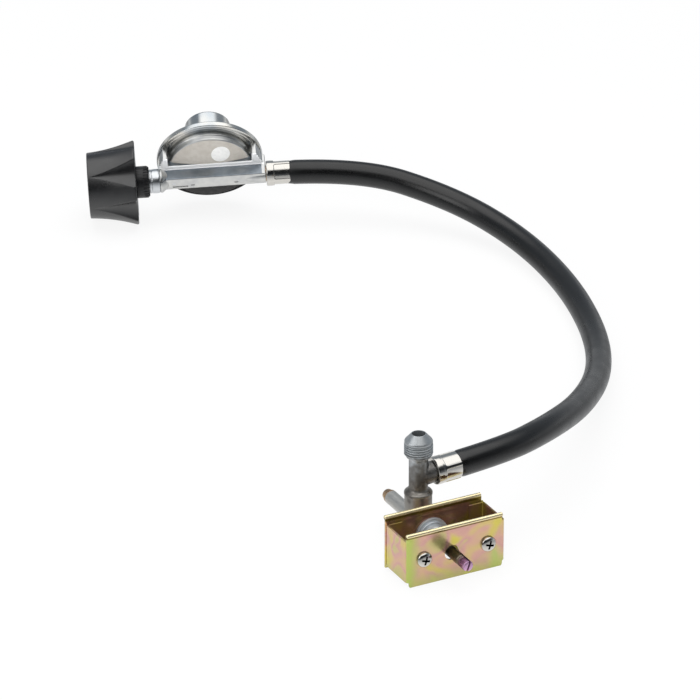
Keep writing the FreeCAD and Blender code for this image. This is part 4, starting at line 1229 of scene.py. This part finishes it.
def studio_world():
    """A bright ceiling panel over a dark room, and a pale horizon behind. Metal shows them as bands. The room
    is blackest on the camera's side and blue-grey behind. Glossy surfaces see the panel stronger than
    white."""
    world = bpy.data.worlds.new("studio")
    world.use_nodes = True
    tree = world.node_tree
    tree.nodes.clear()
    direction = add(tree, "ShaderNodeTexCoord").outputs["Generated"]
    camera_side = Vector((math.sin(camera_turn), -math.cos(camera_turn), 0))
    inputs = [(0, direction), (1, camera_side)]
    facing = add(tree, "ShaderNodeVectorMath", inputs, operation="DOT_PRODUCT").outputs["Value"]
    room, edge = [
        add(tree, "ShaderNodeValToRGB", [("Fac", facing)], stops).outputs["Color"]
        for stops in (
            [(0.0, "#8A929A"), (0.2, "#4C5258"), (0.6, "#242628")],
            [(0.0, "#D2D5D8"), (0.5, "#6E7276"), (0.9, "#4E5256")],
        )
    ]
    height = add(tree, "ShaderNodeSeparateXYZ", [("Vector", direction)]).outputs["Z"]
    horizon, panel = [
        add(tree, "ShaderNodeMapRange", [
            ("Value", height),
            ("From Min", none_at),
            ("From Max", all_at),
        ]).outputs["Result"]
        for none_at, all_at in ((0.30, 0.10), (0.70, 0.82))
    ]
    seen = layered(tree, room, (horizon, edge), (panel, "#FFFFFF"))
    rays = add(tree, "ShaderNodeLightPath").outputs
    inputs = [(0, rays["Is Glossy Ray"]), (1, panel)]
    mirrored = add(tree, "ShaderNodeMath", inputs, operation="MULTIPLY").outputs[0]
    strength = add(tree, "ShaderNodeMapRange", [("Value", mirrored), ("To Min", 1.0), ("To Max", 1.5)])
    around = add(tree, "ShaderNodeBackground", [("Color", seen), ("Strength", strength.outputs["Result"])])
    white = add(tree, "ShaderNodeBackground", [("Color", "#FFFFFF"), ("Strength", 1.0)])
    shown = add(tree, "ShaderNodeMixShader", [
        ("Fac", rays["Is Camera Ray"]),
        (1, around.outputs[0]),
        (2, white.outputs[0]),
    ])
    add(tree, "ShaderNodeOutputWorld", [("Surface", shown.outputs[0])])
    scene.world = world


def soft_box(name, place, size, power, mirrored=True):
    """A rectangular lamp in metres and watts that looks at the origin. Metal shows it only if mirrored."""
    light = bpy.data.lights.new(name, "AREA")
    light.shape = "RECTANGLE"
    light.size, light.size_y = size
    light.energy = power
    lamp = bpy.data.objects.new(name, light)
    lamp.location = place
    lamp.rotation_euler = (-Vector(place)).to_track_quat("-Z", "Y").to_euler()
    lamp.visible_glossy = mirrored
    scene.collection.objects.link(lamp)


white_stage("floor", reach=4.0, shadow_share=0.12, mirrored_shadow_share=0.3)
studio_world()
soft_box("top_box", (0.2, 0.3, 1.6), (1.6, 1.6), 14, mirrored=False)
soft_box("front_box", (-0.6, -1.6, 0.9), (1.4, 1.0), 18, mirrored=False)
soft_box("left_box", (-1.3, -0.2, 0.8), (0.9, 0.9), 5)
